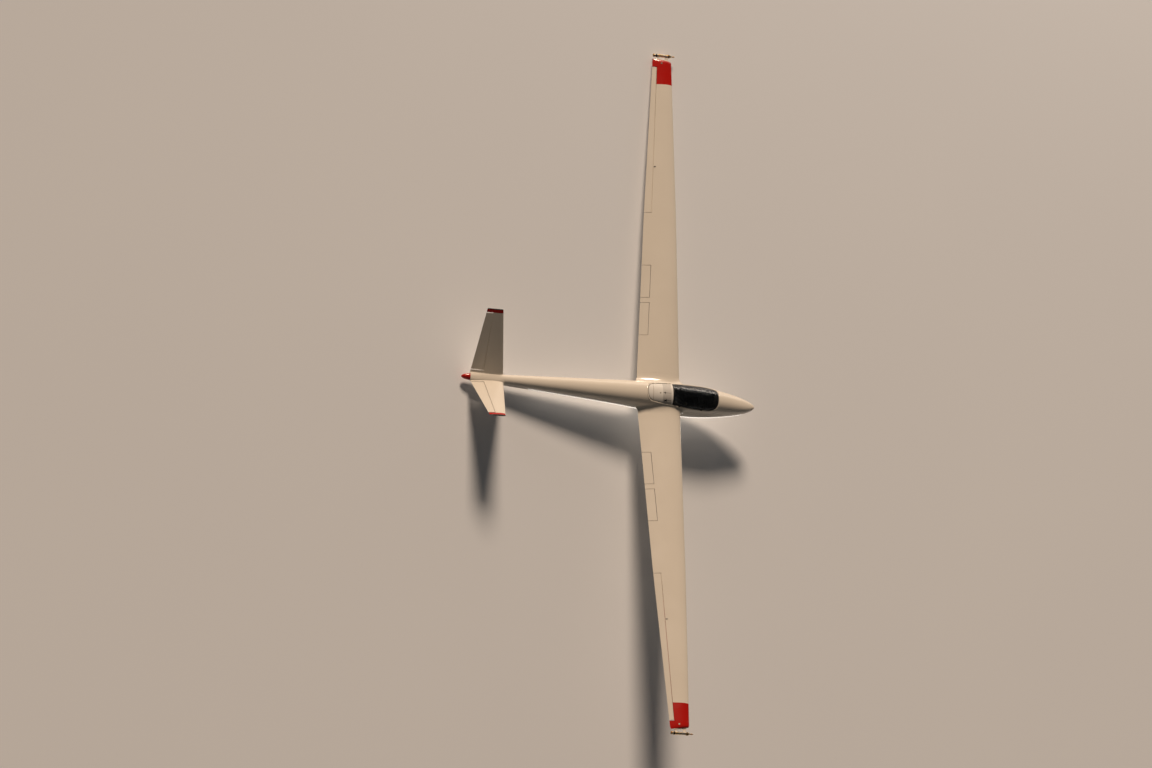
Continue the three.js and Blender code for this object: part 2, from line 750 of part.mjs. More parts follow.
// Side view of a skid: rounded below, flared above.
function skidShape(x, bottom, radius, top, length) {
  const shape = new THREE.Shape();
  shape.moveTo(x - length / 2, bottom + top);
  shape.quadraticCurveTo(x - length / 2, bottom + radius, x - radius * 2, bottom + 2);
  shape.quadraticCurveTo(x, bottom - 2, x + radius * 2, bottom + 2);
  shape.quadraticCurveTo(x + length / 2, bottom + radius, x + length / 2, bottom + top);
  return shape;
}

// Two arms from the tip to the tube, on one base plate.
function smokeBracket(side) {
  const y = [TIP_Y - 1, TIP_Y + TIP_RAKE, SMOKE.y];
  const base = block([-400, y[0], SMOKE.z - 8], [-140, y[1], SMOKE.z + 18]);
  const arms = [
    [-366, -330],
    [-214, -152],
  ].map(([rear, front]) => block([rear, y[0], SMOKE.z - 7], [front, y[2], SMOKE.z + 11]));
  const around = new THREE.CylinderGeometry(SMOKE_RADIUS + 0.4, SMOKE_RADIUS + 0.4, 500, 18);
  around.rotateZ(Math.PI / 2).translate(-300, SMOKE.y, SMOKE.z);
  const tip = tipCap(LEFT).translate([0, 2 * SEAT_GAP, 0]);
  const made = cut(join(solid(base), ...arms.map(solid)), solid(around), tip);
  return side > 0 ? made : made.mirror([0, 1, 0]);
}

// V-tail

for (const [name, side] of SIDES) {
  const whole = solid(loft([TAIL_RIB + 0.0004, TAIL_TIP_CAP].map((share) => tailRing(side, share))));
  const hinge = tailHinge(side);
  const { moving, rest } = hingedPair(whole, hinge, openEnded(hinge));
  hinged(piece(`ruddervator_${name}`, moving, WHITE), hinge);
  piece(`tail_fin_${name}`, rest, WHITE);
  const shares = [
    [TAIL_TIP_CAP + 0.0004, 1],
    [1, 1],
    [1.006, 0.96],
    [1.01, 0.85],
  ];
  const cap = solid(loft(shares.map(([share, grow]) => tailRing(side, share, grow))));
  piece(`tail_tip_${name}`, cap.subtract(pivots(hinge, SEAT_GAP)), RED);
}

// Tail cone: the hull's end section, carried on to a blunt round end. Columns: x, share of size.
const CONE = [
  [HULL_END - SEAT_GAP, 1],
  [-4205, 0.97],
  [-4250, 0.86],
  [-4290, 0.67],
  [-4320, 0.4],
  [-4335, 0.08],
];
function coneRing([x, share]) {
  const ring = hullRing(HULL_END, 0, 24);
  const middle = (HULL[HULL.length - 1][2] + HULL[HULL.length - 1][3]) / 2;
  return ring.map((p) => new THREE.Vector3(x, p.y * share, middle + (p.z - middle) * share));
}
piece("tail_cone", loft(CONE.map(coneRing)), RED);

// Main wheel

const wellBox = (inset, low) =>
  solid(
    block(
      [WHEEL.x - WELL_HALF_LENGTH + inset, -WELL_HALF_WIDTH + inset, low],
      [WHEEL.x + WELL_HALF_LENGTH - inset, WELL_HALF_WIDTH - inset, WELL_TOP - inset],
    ),
  );
const wellWalls = wellBox(SEAT_GAP, -600).subtract(wellBox(WELL_WALL, -700));
piece("wheel_well", wellWalls.intersect(hullLoft(300, -500)), GREY);

const wheelLathe = (profile, segments) =>
  new THREE.LatheGeometry(
    profile.map(([y, r]) => new THREE.Vector2(r, y)),
    segments,
  ).translate(WHEEL.x, 0, WHEEL.z);

// Half of the tyre's section: sidewall and crown, as distance from the middle and radius.
function tyreHalf(side) {
  const crown = [0, 12, 24, 36].map((degrees) => {
    const angle = THREE.MathUtils.degToRad(degrees);
    const middle = TYRE_RADIUS - TYRE_CROWN;
    return [side * TYRE_CROWN * Math.sin(angle), middle + TYRE_CROWN * Math.cos(angle)];
  });
  const wall = [
    [side * TYRE_WIDTH * 0.47, 124],
    [(side * TYRE_WIDTH) / 2, 108],
    [side * TYRE_WIDTH * 0.46, 84],
    [side * TYRE_WIDTH * 0.36, RIM_RADIUS + SEAT_GAP],
  ];
  return [...crown, ...wall];
}
const tyreSection = [...tyreHalf(1).reverse(), ...tyreHalf(-1).slice(1)];
tyreSection.push(tyreSection[0]);
piece("main_tyre", solid(wheelLathe(tyreSection, 36)), RUBBER);

const rimSection = [
  [-28, AXLE_RADIUS + SEAT_GAP],
  [-28, 26],
  [-10, 30],
  [-10, 48],
  [-36, 54],
  [-RIM_WIDTH / 2, 58],
  [-RIM_WIDTH / 2, RIM_RADIUS],
];
const rimLoop = [...rimSection, ...rimSection.map(([y, r]) => [-y, r]).reverse(), rimSection[0]];
piece("main_wheel_rim", solid(wheelLathe(rimLoop, 24)), GREY);

const wheelAt = (y) => new THREE.Vector3(WHEEL.x, y, WHEEL.z);
const axle = rod(wheelAt(-WELL_HALF_WIDTH + 8), wheelAt(WELL_HALF_WIDTH - 8), AXLE_RADIUS, 20);
piece("wheel_axle", axle, STEEL);

const legTop = WELL_TOP - WELL_WALL - SEAT_GAP;
const legOutline = [
  [WHEEL.x - 26, WHEEL.z - 20],
  [WHEEL.x + 26, WHEEL.z - 20],
  [WHEEL.x + 30, WHEEL.z + 30],
  [WHEEL.x + 70, legTop],
  [WHEEL.x - 70, legTop],
  [WHEEL.x - 30, WHEEL.z + 30],
];
const legs = [LEG_Y, [-LEG_Y[1], -LEG_Y[0]]].map((y) => solid(sidePlate(legOutline, ...y)));
const bridge = block([WHEEL.x - 60, -LEG_Y[1], legTop - 8], [WHEEL.x + 60, LEG_Y[1], legTop]);
const bore = rod(wheelAt(-100), wheelAt(100), AXLE_RADIUS + SEAT_GAP, 20);
piece("wheel_fork", cut(join(solid(bridge), ...legs), solid(bore)), GREY);

const brakeY = [LEG_Y[0] - SEAT_GAP - 10, LEG_Y[0] - SEAT_GAP];
const backPlate = rod(wheelAt(brakeY[0]), wheelAt(brakeY[1]), 50, 28);
const caliper = block([WHEEL.x - 84, brakeY[0] + 2, WHEEL.z - 4], [WHEEL.x - 40, brakeY[1], WHEEL.z + 32]);
piece("wheel_brake", cut(join(solid(backPlate), solid(caliper)), solid(bore)), STEEL);

// Tow hook under the cockpit
const hookZ = hullAt(HOOK_X, 3);
const hookPlate = block([HOOK_X - 40, -16, hookZ - 14], [HOOK_X + 40, 16, hookZ + 12]);
const hookShape = new THREE.Shape();
hookShape.moveTo(HOOK_X + 22, hookZ - 8);
hookShape.lineTo(HOOK_X + 20, hookZ - 34);
hookShape.quadraticCurveTo(HOOK_X + 6, hookZ - 52, HOOK_X - 24, hookZ - 44);
hookShape.lineTo(HOOK_X - 22, hookZ - 34);
hookShape.quadraticCurveTo(HOOK_X + 2, hookZ - 40, HOOK_X + 4, hookZ - 28);
hookShape.lineTo(HOOK_X, hookZ - 8);
const hook = join(solid(hookPlate), solid(sidePlate(hookShape, -6, 6)));
piece("tow_hook", hook.subtract(hullLoft(500, -100, -SEAT_GAP)), STEEL);

// Tail skid with its steel sole
const skidOutline = [
  [SKID_X - 90, 90],
  [SKID_X - 62, SKID_BOTTOM + 26],
  [SKID_X + 70, SKID_BOTTOM + 26],
  [SKID_X + 190, 20],
  [SKID_X + 230, 60],
];
const skidBlock = solid(sidePlate(skidOutline, -SKID_HALF_WIDTH, SKID_HALF_WIDTH));
const boom = hullLoft(SKID_X + 300, SKID_X - 300, -SEAT_GAP);
piece("tail_skid", skidBlock.subtract(boom), RUBBER);
const soleShape = new THREE.Shape();
soleShape.moveTo(SKID_X - 64, SKID_BOTTOM + 26 - SEAT_GAP);
soleShape.quadraticCurveTo(SKID_X - 60, SKID_BOTTOM, SKID_X - 20, SKID_BOTTOM);
soleShape.lineTo(SKID_X + 30, SKID_BOTTOM);
soleShape.quadraticCurveTo(SKID_X + 66, SKID_BOTTOM + 4, SKID_X + 72, SKID_BOTTOM + 26 - SEAT_GAP);
piece("tail_skid_sole", sidePlate(soleShape, -SKID_HALF_WIDTH + 2, SKID_HALF_WIDTH - 2), STEEL);

// Canopy and hatch

const lidForm = (inset) => hullLoft(OPENING_FRONT + 60, OPENING_REAR - 60, inset);
const canopyWhole = openingPrism(MOVING_GAP).intersect(ahead(SPLIT_X + MOVING_GAP / 2));
const glassRear = SPLIT_X + MOVING_GAP / 2 + CANOPY_BAND;
const glassWhole = (grow) =>
  openingPrism(MOVING_GAP + CANOPY_BAND - grow).intersect(ahead(glassRear - grow));
const glass = lidForm(0).subtract(lidForm(CANOPY_GLASS)).intersect(glassWhole(0));
const band = lidForm(0).subtract(lidForm(CANOPY_FRAME)).intersect(canopyWhole);
const frame = cut(band, glassWhole(SEAT_GAP), canopyHinge.fixedRoom).add(canopyHinge.moving);
hinged(piece("canopy_frame", frame, DARK), canopyHinge);
piece("canopy_glass", glass, GLASS);
piece("canopy_hinge_pin", canopyHinge.pin, STEEL);

const hatchWhole = openingPrism(MOVING_GAP).intersect(behind(SPLIT_X - MOVING_GAP / 2));
const hatchSkin = lidForm(0).subtract(lidForm(HATCH_SKIN)).intersect(hatchWhole);
const hatch = hatchSkin.subtract(hatchHinge.fixedRoom).add(hatchHinge.moving);
hinged(piece("hatch", hatch, WHITE), hatchHinge);
piece("hatch_hinge_pin", hatchHinge.pin, STEEL);

// Cockpit furniture

const cabin = hullLoft(COCKPIT_FRONT - SEAT_GAP, BULKHEAD[1] + SEAT_GAP, SKIN + SEAT_GAP, 24);

// A band between two points of the side view, from its line to a height above it.
function slab(from, to, low, high) {
  const along = to.clone().sub(from).normalize();
  const up = new THREE.Vector2(along.y, -along.x);
  if (up.y < 0) up.negate();
  return [
    [from, low],
    [to, low],
    [to, high],
    [from, high],
  ].map(([point, rise]) => point.clone().addScaledVector(up, rise).toArray());
}

const pan = solid(sidePlate(slab(SEAT_FRONT, SEAT_LOW, -SEAT_SHELL, 0), -400, 400));
const back = solid(sidePlate(slab(SEAT_LOW, SEAT_TOP, -SEAT_SHELL, 0), -400, 400));
const bendEnds = [-400, 400].map(
  (y) => new THREE.Vector3(SEAT_LOW.x, y, SEAT_LOW.y - SEAT_SHELL / 2),
);
const bend = solid(rod(...bendEnds, SEAT_SHELL / 2, 12));
piece("seat_pan", join(pan, back, bend).intersect(cabin), GREY);

// A cushion between two shares of a seat line.
function cushion(from, to, shares) {
  const ends = shares.map((share) => from.clone().lerp(to, share));
  const outline = slab(ends[0], ends[1], SEAT_GAP, CUSHION);
  return sidePlate(outline, -CUSHION_HALF_WIDTH, CUSHION_HALF_WIDTH);
}
piece("seat_cushion", cushion(SEAT_FRONT, SEAT_LOW, [0.06, 0.88]), FABRIC);
piece("back_cushion", cushion(SEAT_LOW, SEAT_TOP, [0.16, 0.97]), FABRIC);
piece("headrest", block([BULKHEAD[1] + SEAT_GAP, -75, 12], [-118, 75, 92]), FABRIC);

const pedestal = block([PEDESTAL_X[0] + 15, -60, COCKPIT_FLOOR[1] + SEAT_GAP], [PEDESTAL_X[1], 60, 0]);
const pod = block(
  [PEDESTAL_X[0], -PANEL_HALF_WIDTH, PANEL_Z[0]],
  [PEDESTAL_X[1] + 60, PANEL_HALF_WIDTH, PANEL_Z[1]],
);
const podForm = hullLoft(1000, 500, CANOPY_FRAME + 14, 24);
piece("instrument_panel", solid(pod).intersect(podForm).add(solid(pedestal)), DARK);

const stick = solid(rod(STICK_FOOT, STICK_TOP, 9, 14));
const gripFoot = STICK_FOOT.clone().lerp(STICK_TOP, 0.68);
const stickBoot = new THREE.CylinderGeometry(16, 42, 26, 20).rotateX(Math.PI / 2);
stickBoot.translate(STICK_FOOT.x, 0, COCKPIT_FLOOR[1] + SEAT_GAP + 13);
const grip = solid(rod(gripFoot, STICK_TOP.clone().add(new THREE.Vector3(0, 0, 14)), 16, 14));
piece("control_stick", join(stick, solid(stickBoot), grip), DARK);

const bar = rod(new THREE.Vector3(PEDAL_X, -400, -300), new THREE.Vector3(PEDAL_X, 400, -300), 9, 12);
const pedals = SIDES.map(([, side]) =>
  solid(block([PEDAL_X - 12, side * PEDAL_Y - 38, -310], [PEDAL_X - 4, side * PEDAL_Y + 38, -190])),
);
piece("rudder_pedals", join(solid(bar).intersect(cabin), ...pedals), STEEL);

for (const [name, side] of SIDES) {
  const [near, far] = [side * 208, side * 400].sort((p, q) => p - q);
  const shelf = block([90, near, -185], [560, far, -160]);
  piece(`side_console_${name}`, solid(shelf).intersect(cabin), GREY);
}
const leverFoot = new THREE.Vector3(400, 232, -160 + SEAT_GAP);
const leverTop = new THREE.Vector3(380, 226, -92);
const lever = join(
  solid(rod(leverFoot.clone().setX(370), leverFoot.clone().setX(430), 8, 12)).translate(0, 0, 8),
  solid(rod(leverFoot.clone().add(new THREE.Vector3(0, 0, 6)), leverTop, 6, 12)),
  solid(rod(leverTop.clone().add(new THREE.Vector3(-2, 0, -30)), leverTop, 12, 14)),
);
piece("airbrake_lever", lever, DARK);

// Parked on three points: the tyre, the tail skid's sole and the left wing tip's skid

// The vertex of a named piece that lies lowest along a direction.
function lowest(name, up) {
  const place = aircraft.getObjectByName(name).geometry.attributes.position;
  const points = Array.from({ length: place.count }, (_, i) =>
    new THREE.Vector3().fromBufferAttribute(place, i),
  );
  return points.reduce((a, b) => (b.dot(up) < a.dot(up) ? b : a));
}

function groundUp() {
  const up = new THREE.Vector3(0, 0, 1);
  for (let turn = 0; turn < 20; turn++) {
    const [wheel, tail, tip] = ["main_tyre", "tail_skid_sole", "tip_skid_left"].map((name) =>
      lowest(name, up),
    );
    up.crossVectors(tip.clone().sub(wheel), tail.clone().sub(wheel)).normalize();
    if (up.z < 0) up.negate();
  }
  return up;
}

const up = groundUp();
const forward = new THREE.Vector3(1, 0, 0).addScaledVector(up, -up.x).normalize();
const sideways = new THREE.Vector3().crossVectors(up, forward);
const stand = new THREE.Matrix4().makeBasis(forward, sideways, up).transpose();
aircraft.quaternion.setFromRotationMatrix(stand);

const parked = new THREE.Group();
parked.add(aircraft);
const box = new THREE.Box3().setFromObject(parked, true);
const middle = box.getCenter(new THREE.Vector3());
aircraft.position.set(-middle.x, -middle.y, -box.min.z);

export default parked;
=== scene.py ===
import json
import math

import bmesh
import bpy
from mathutils import Matrix, Vector


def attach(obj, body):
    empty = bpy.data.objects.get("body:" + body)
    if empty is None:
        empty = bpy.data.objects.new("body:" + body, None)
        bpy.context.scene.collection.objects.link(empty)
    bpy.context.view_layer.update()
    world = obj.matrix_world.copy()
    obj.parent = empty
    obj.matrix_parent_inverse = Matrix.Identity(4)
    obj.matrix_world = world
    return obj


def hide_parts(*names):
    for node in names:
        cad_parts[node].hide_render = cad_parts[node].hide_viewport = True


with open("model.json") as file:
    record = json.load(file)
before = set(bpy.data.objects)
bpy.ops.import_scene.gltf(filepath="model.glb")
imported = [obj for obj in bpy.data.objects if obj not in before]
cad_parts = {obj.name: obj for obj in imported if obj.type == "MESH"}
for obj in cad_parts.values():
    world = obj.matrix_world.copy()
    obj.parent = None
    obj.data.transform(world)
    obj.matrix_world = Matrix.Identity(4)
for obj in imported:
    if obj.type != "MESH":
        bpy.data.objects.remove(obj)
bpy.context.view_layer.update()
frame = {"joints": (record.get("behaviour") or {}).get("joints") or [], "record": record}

# How it stands. Every piece is shaped in metres on the level aircraft, with +X to the nose, +Y to
# the left wing tip, +Z up and the origin 12 mm behind the wing root's leading edge. STAND sets
# it down.
WHEEL = Vector((-0.120, 0, -0.500))
SIDES = (("left", 1), ("right", -1))
wheel_joint = next(j for j in frame["joints"] if j["name"] == "main_wheel_spin")
bay_mount = next(m for m in frame["record"]["mounts"] if m["name"] == "bay_floor")
to_left = Vector(wheel_joint["axis"]).normalized()
to_up = Vector(bay_mount["axis"]).normalized()
to_nose = to_left.cross(to_up).normalized()
turn = Matrix((to_nose, to_left, to_up)).transposed()
STAND = Matrix.Translation(Vector(wheel_joint["pos_m"]) - turn @ WHEEL) @ turn.to_4x4()

# The camera looks down from behind the right wing through a long lens.
VIEW_RIGHT = Vector((0.96073, -0.02124, 0.27667)).normalized()
VIEW_BACK = Vector((-0.265, -0.36593, 0.89212)).normalized()
VIEW_UP = VIEW_BACK.cross(VIEW_RIGHT).normalized()
VIEW_DISTANCE = 180
PICTURE_WIDTH = 1152 / 52.721  # metres across the picture at the aircraft
VIEW_CENTRE = (-1.965, 0.251)
SENSOR = 36
camera_data = bpy.data.cameras.new("camera")
camera_data.sensor_width = SENSOR
camera_data.lens = SENSOR * VIEW_DISTANCE / PICTURE_WIDTH
camera_data.clip_start = 1
camera_data.clip_end = 600
camera = bpy.data.objects.new("camera", camera_data)
bpy.context.scene.collection.objects.link(camera)
view_place = VIEW_CENTRE[0] * VIEW_RIGHT + VIEW_CENTRE[1] * VIEW_UP + VIEW_DISTANCE * VIEW_BACK
view_turn = Matrix((VIEW_RIGHT, VIEW_UP, VIEW_BACK)).transposed().to_4x4()
camera.matrix_world = STAND @ Matrix.Translation(view_place) @ view_turn
bpy.context.scene.camera = camera


# The studio: a warm key light from the left wing's side, a wide soft box low on the same side, a
# narrow low lamp under the right side that gives the belly its pale rim, a weak grey fill from
# all round and a pale floor with a matt paint.
def hex_colour(text):
    """A linear colour from an sRGB hex value."""
    parts = [int(text[i : i + 2], 16) / 255 for i in (0, 2, 4)]
    linear = [p / 12.92 if p <= 0.04045 else ((p + 0.055) / 1.055) ** 2.4 for p in parts]
    return (*linear, 1.0)


def add_node(tree, kind, inputs=None, **settings):
    """Adds a shader node. An input is a value, or another node's output socket."""
    node = tree.nodes.new(kind)
    for key, value in settings.items():
        setattr(node, key, value)
    for key, value in (inputs or {}).items():
        if isinstance(value, bpy.types.NodeSocket):
            tree.links.new(value, node.inputs[key])
        else:
            node.inputs[key].default_value = value
    return node


def new_finish(name, shades, colour_by, rough, relief=None, rough_by=None, fixed=None):
    """A material. Its colour runs between two shades and its roughness between two values, each by
    a pattern, and the roughness may name the part of the pattern's range that it follows. Relief
    is a pattern, the height in metres that it raises and its strength. A pattern is the width in
    metres of soft blotches, with their detail and raggedness or without, or a function that adds
    nodes of its own."""
    finish = bpy.data.materials.new(name)
    finish.use_nodes = True
    tree = finish.node_tree
    shader = tree.nodes["Principled BSDF"]
    place = add_node(tree, "ShaderNodeTexCoord").outputs["Object"]

    def pattern(kind):
        if callable(kind):
            return kind(tree, place)
        size, detail, ragged = kind if isinstance(kind, tuple) else (kind, 4.0, 0.5)
        inputs = {"Vector": place, "Scale": 1 / size, "Detail": detail, "Roughness": ragged}
        return add_node(tree, "ShaderNodeTexNoise", inputs).outputs["Fac"]

    colour = pattern(colour_by)
    if shades:
        inputs = {"Factor": colour, 6: hex_colour(shades[0]), 7: hex_colour(shades[1])}
        colour = add_node(tree, "ShaderNodeMix", inputs, data_type="RGBA").outputs[2]
    tree.links.new(colour, shader.inputs["Base Color"])
    if isinstance(rough, tuple):
        low, high, start, end = (*rough, 0.35, 0.65)[:4]
        inputs = {"Value": pattern(rough_by or colour_by), "To Min": low, "To Max": high}
        inputs |= {"From Min": start, "From Max": end}
        ranged = add_node(tree, "ShaderNodeMapRange", inputs).outputs["Result"]
        tree.links.new(ranged, shader.inputs["Roughness"])
    else:
        shader.inputs["Roughness"].default_value = rough
    if relief:
        inputs = {"Height": pattern(relief[0]), "Distance": relief[1], "Strength": relief[2]}
        bump = add_node(tree, "ShaderNodeBump", inputs).outputs["Normal"]
        tree.links.new(bump, shader.inputs["Normal"])
    for key, value in (fixed or {}).items():
        shader.inputs[key].default_value = value
    return finish


def studio_light(name, kind, energy, colour, turned, place=(0, 0, 0), **settings):
    lamp = bpy.data.lights.new(name, kind)
    lamp.energy = energy
    lamp.color = hex_colour(colour)[:3]
    for key, value in settings.items():
        setattr(lamp, key, value)
    light = bpy.data.objects.new(name, lamp)
    bpy.context.scene.collection.objects.link(light)
    light.location = place
    light.rotation_euler = turned
    light.visible_camera = False


# Matt floor paint, a pale stone grey: no pattern to see but a cloudiness of a few metres.
studio_paint = new_finish(
    "studio_paint", ("E6EAF2", "EAEEF5"), 6.0, 0.9, fixed={"Specular IOR Level": 0.2}
)
floor_mesh = bmesh.new()
bmesh.ops.create_grid(floor_mesh, x_segments=4, y_segments=4, size=260)
floor_data = bpy.data.meshes.new("studio_floor")
floor_mesh.to_mesh(floor_data)
floor_mesh.free()
floor_data.materials.append(studio_paint)
studio_floor = bpy.data.objects.new("studio_floor", floor_data)
bpy.context.scene.collection.objects.link(studio_floor)

KEY_FROM = turn @ Vector((-0.03, 0.75, 0.66))
key_turn = KEY_FROM.to_track_quat("Z", "Y").to_euler()
studio_light("key_light", "SUN", 2.95, "FFE4C8", key_turn, angle=0.25)

studio_air = bpy.data.worlds.new("studio_air")
bpy.context.scene.world = studio_air
studio_air.use_nodes = True
backdrop = studio_air.node_tree.nodes["Background"]
backdrop.inputs["Color"].default_value = hex_colour("DAD6D0")
backdrop.inputs["Strength"].default_value = 0.06

SOFT_BOX_PLACE = Vector((6, 24, 6.2))  # it shows as a pale band in the canopy
soft_turn = SOFT_BOX_PLACE.to_track_quat("Z", "Y").to_euler()
soft_size = {"shape": "RECTANGLE", "size": 30, "size_y": 12}
studio_light("soft_box", "AREA", 1500, "FFF3E4", soft_turn, STAND @ SOFT_BOX_PLACE, **soft_size)
LOW_PLACE = (0.8, -0.34, 0.02)  # on the floor, with its face up
low_size = {"shape": "RECTANGLE", "size": 4.6, "size_y": 0.22}
studio_light("low_fill", "AREA", 6.5, "FFF6EC", (math.pi, 0, 0), LOW_PLACE, **low_size)
bpy.context.scene.view_settings.view_transform = "Standard"

# The fuselage: a sandwich shell of glass fibre from two moulded halves, with the cockpit opening
# cut in its top, the wheel's opening in its belly, and a bulkhead behind the seat.
# Sections from nose to tail, in millimetres: x, half width, top, bottom.
HULL = (
    (1542, 2, -203, -207), (1536, 20, -188, -222), (1520, 40, -172, -238), (1490, 64, -155, -258),
    (1450, 88, -137, -279), (1399, 113, -117, -302), (1277, 156, -70, -348), (1158, 186, -29, -386),
    (1037, 210, 12, -420), (913, 231, 52, -450), (794, 248, 87, -474), (682, 261, 116, -492),
    (561, 272, 141, -505), (438, 281, 160, -514), (189, 289, 184, -521), (0, 290, 194, -515),
    (-300, 287, 203, -465), (-700, 268, 209, -345), (-1078, 244, 212, -252), (-1400, 224, 212, -208),
    (-1774, 201, 211, -168), (-2576, 155, 208, -89), (-3376, 107.5, 203, -10), (-4168, 61, 196, 66)
)
MM = 0.001
HULL_ROUNDNESS = 2.2
HULL_END = -4.168
SKIN = 0.010
AROUND = 96  # faces round the hull


def hull_at(x):
    """Half width, top and bottom of the hull at x, smooth through the sections."""
    x = x / MM
    last = len(HULL) - 1
    i = next((n - 1 for n in range(1, last + 1) if x >= HULL[n][0]), last - 1)
    start, end = HULL[i], HULL[i + 1]
    span = end[0] - start[0]
    t = min(max((x - start[0]) / span, 0), 1)
    found = []
    for column in (1, 2, 3):
        slopes = []
        for n in (i, i + 1):
            a, b = HULL[max(n - 1, 0)], HULL[min(n + 1, last)]
            slopes.append((b[column] - a[column]) / (b[0] - a[0]))
        rise = t * t * (3 - 2 * t) * (end[column] - start[column])
        bend = t * (1 - t) ** 2 * slopes[0] - t * t * (1 - t) * slopes[1]
        found.append((start[column] + rise + bend * span) * MM)
    return found


def round_off(value):
    return math.copysign(abs(value) ** (2 / HULL_ROUNDNESS), value)


def hull_point(x, angle, inset=0.0):
    """A point of the hull's section at x. The angle starts at the left side and goes over the top."""
    half, top, bottom = hull_at(x)
    middle, tall = (top + bottom) / 2, (top - bottom) / 2 - inset
    y = (half - inset) * round_off(math.cos(angle))
    return Vector((x, y, middle + tall * round_off(math.sin(angle))))


def hull_share(level):
    """The share of a section's half width at a level given as a share of its half height."""
    return max(1 - abs(level) ** HULL_ROUNDNESS, 0) ** (1 / HULL_ROUNDNESS)


def hull_side(x, z, inset=0.0):
    """The hull's half width at a height."""
    half, top, bottom = hull_at(x)
    level = (z - (top + bottom) / 2) / ((top - bottom) / 2 - inset)
    return (half - inset) * hull_share(level)


def hull_top(x, y, inset=0.0):
    """The height of the hull's top at a distance from its middle."""
    half, top, bottom = hull_at(x)
    return (top + bottom) / 2 + ((top - bottom) / 2 - inset) * hull_share(y / (half - inset))


def in_hull(point, inset=0.0):
    """Above zero inside the hull's skin, drawn in by an inset."""
    half, top, bottom = hull_at(point.x)
    across = abs(point.y) / (half - inset)
    level = abs(point.z - (top + bottom) / 2) / ((top - bottom) / 2 - inset)
    return 1 - across**HULL_ROUNDNESS - level**HULL_ROUNDNESS


def hull_facing(x, z):
    """The hull's outward direction on its left side."""
    step = 0.002
    along = (hull_side(x + step, z) - hull_side(x - step, z)) / (2 * step)
    upward = (hull_side(x, z + step) - hull_side(x, z - step)) / (2 * step)
    return Vector((-along, 1, -upward)).normalized()


def hull_out(point):
    """The hull's outward direction at a point of its skin, on either side."""
    step = 0.0005
    ways = (Vector((step, 0, 0)), Vector((0, step, 0)), Vector((0, 0, step)))
    return Vector([in_hull(point - way) - in_hull(point + way) for way in ways]).normalized()


def spread(start, end, count):
    """Evenly spaced values, both ends included."""
    return [start + (end - start) * k / count for k in range(count + 1)]


def sheet(across, along, place):
    """A sheet of faces with a corner at place(u, v) for each u in across and v in along."""
    bm = bmesh.new()
    columns, rows = len(across) - 1, len(along) - 1
    bmesh.ops.create_grid(bm, x_segments=columns, y_segments=rows, size=0.5)
    for corner in bm.verts:
        i = round((corner.co.x + 0.5) * columns)
        j = round((corner.co.y + 0.5) * rows)
        corner.co = place(across[i], along[j])
    bmesh.ops.remove_doubles(bm, verts=bm.verts, dist=2e-5)
    return bm


def carve(bm, room, painted=None):
    """Cuts the faces along the line where room is zero. Where it is above zero they go, or they
    take the painted material."""
    on_line = set()
    for edge in list(bm.edges):
        a, b = edge.verts
        depth = room(a.co)
        if depth * room(b.co) >= 0:
            continue
        low, high = 0.0, 1.0
        for _ in range(22):
            middle = (low + high) / 2
            if room(a.co.lerp(b.co, middle)) * depth > 0:
                low = middle
            else:
                high = middle
        if low < 0.07:
            a.co = a.co.lerp(b.co, low)
            on_line.add(a)
        elif low > 0.93:
            b.co = a.co.lerp(b.co, low)
            on_line.add(b)
        else:
            on_line.add(bmesh.utils.edge_split(edge, a, low)[1])
    bmesh.ops.connect_verts(bm, verts=list(on_line))
    inside = [face for face in bm.faces if room(face.calc_center_median()) > 0]
    if painted is None:
        bmesh.ops.delete(bm, geom=inside, context="FACES")
    else:
        for face in inside:
            face.material_index = painted


def outward(bm):
    """Turns a mesh's faces outwards."""
    bmesh.ops.recalc_face_normals(bm, faces=bm.faces)
    return bm


def close_ends(bm):
    """Closes the open rings of a skin with flat faces."""
    rims = [edge for edge in bm.edges if edge.is_boundary]
    bmesh.ops.holes_fill(bm, edges=rims, sides=0)
    outward(bm)


def cut_off(bm, point, out):
    """Cuts away what lies beyond a plane."""
    whole = bm.verts[:] + bm.edges[:] + bm.faces[:]
    bmesh.ops.bisect_plane(bm, geom=whole, plane_co=point, plane_no=out, clear_outer=True)


def put(bm, name, finishes, stands_for=None, body="airframe", crease=35):
    """Sets a finished mesh down as a named piece that rides on a body."""
    limit = math.radians(crease)
    for face in bm.faces:
        face.smooth = True
    for edge in bm.edges:
        if edge.is_boundary or (edge.is_manifold and edge.calc_face_angle() > limit):
            edge.smooth = False
    bm.transform(STAND)
    data = bpy.data.meshes.new(name)
    bm.to_mesh(data)
    bm.free()
    for finish in finishes:
        data.materials.append(finish)
    piece = bpy.data.objects.new(name, data)
    bpy.context.scene.collection.objects.link(piece)
    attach(piece, body)
    if stands_for:
        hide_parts(stands_for)
    return piece


def walled(piece, thickness, inner=0, group=None):
    """Gives a skin its wall on the inside, with the inner face in another of its materials."""
    wall = piece.modifiers.new("wall", "SOLIDIFY")
    wall.thickness = thickness
    wall.offset = -1
    wall.material_offset = inner
    if group:
        wall.vertex_group = group


# Polished polyester gelcoat over glass fibre: an even warm white with a clear gloss. A big panel
# is never quite flat, which shows as slow waves in its reflections, about 250 mm long.
def gelcoat(name, *shades):
    waves = ((0.25, 1.0, 0.5), 0.0006, 0.5)
    clear = {"IOR": 1.5, "Coat Weight": 0.5, "Coat Roughness": 0.06}
    return new_finish(name, shades, (0.9, 3.0, 0.5), (0.16, 0.26), waves, 0.35, clear)


white_gelcoat = gelcoat("white_gelcoat", "E0D8CC", "EAE3D8")


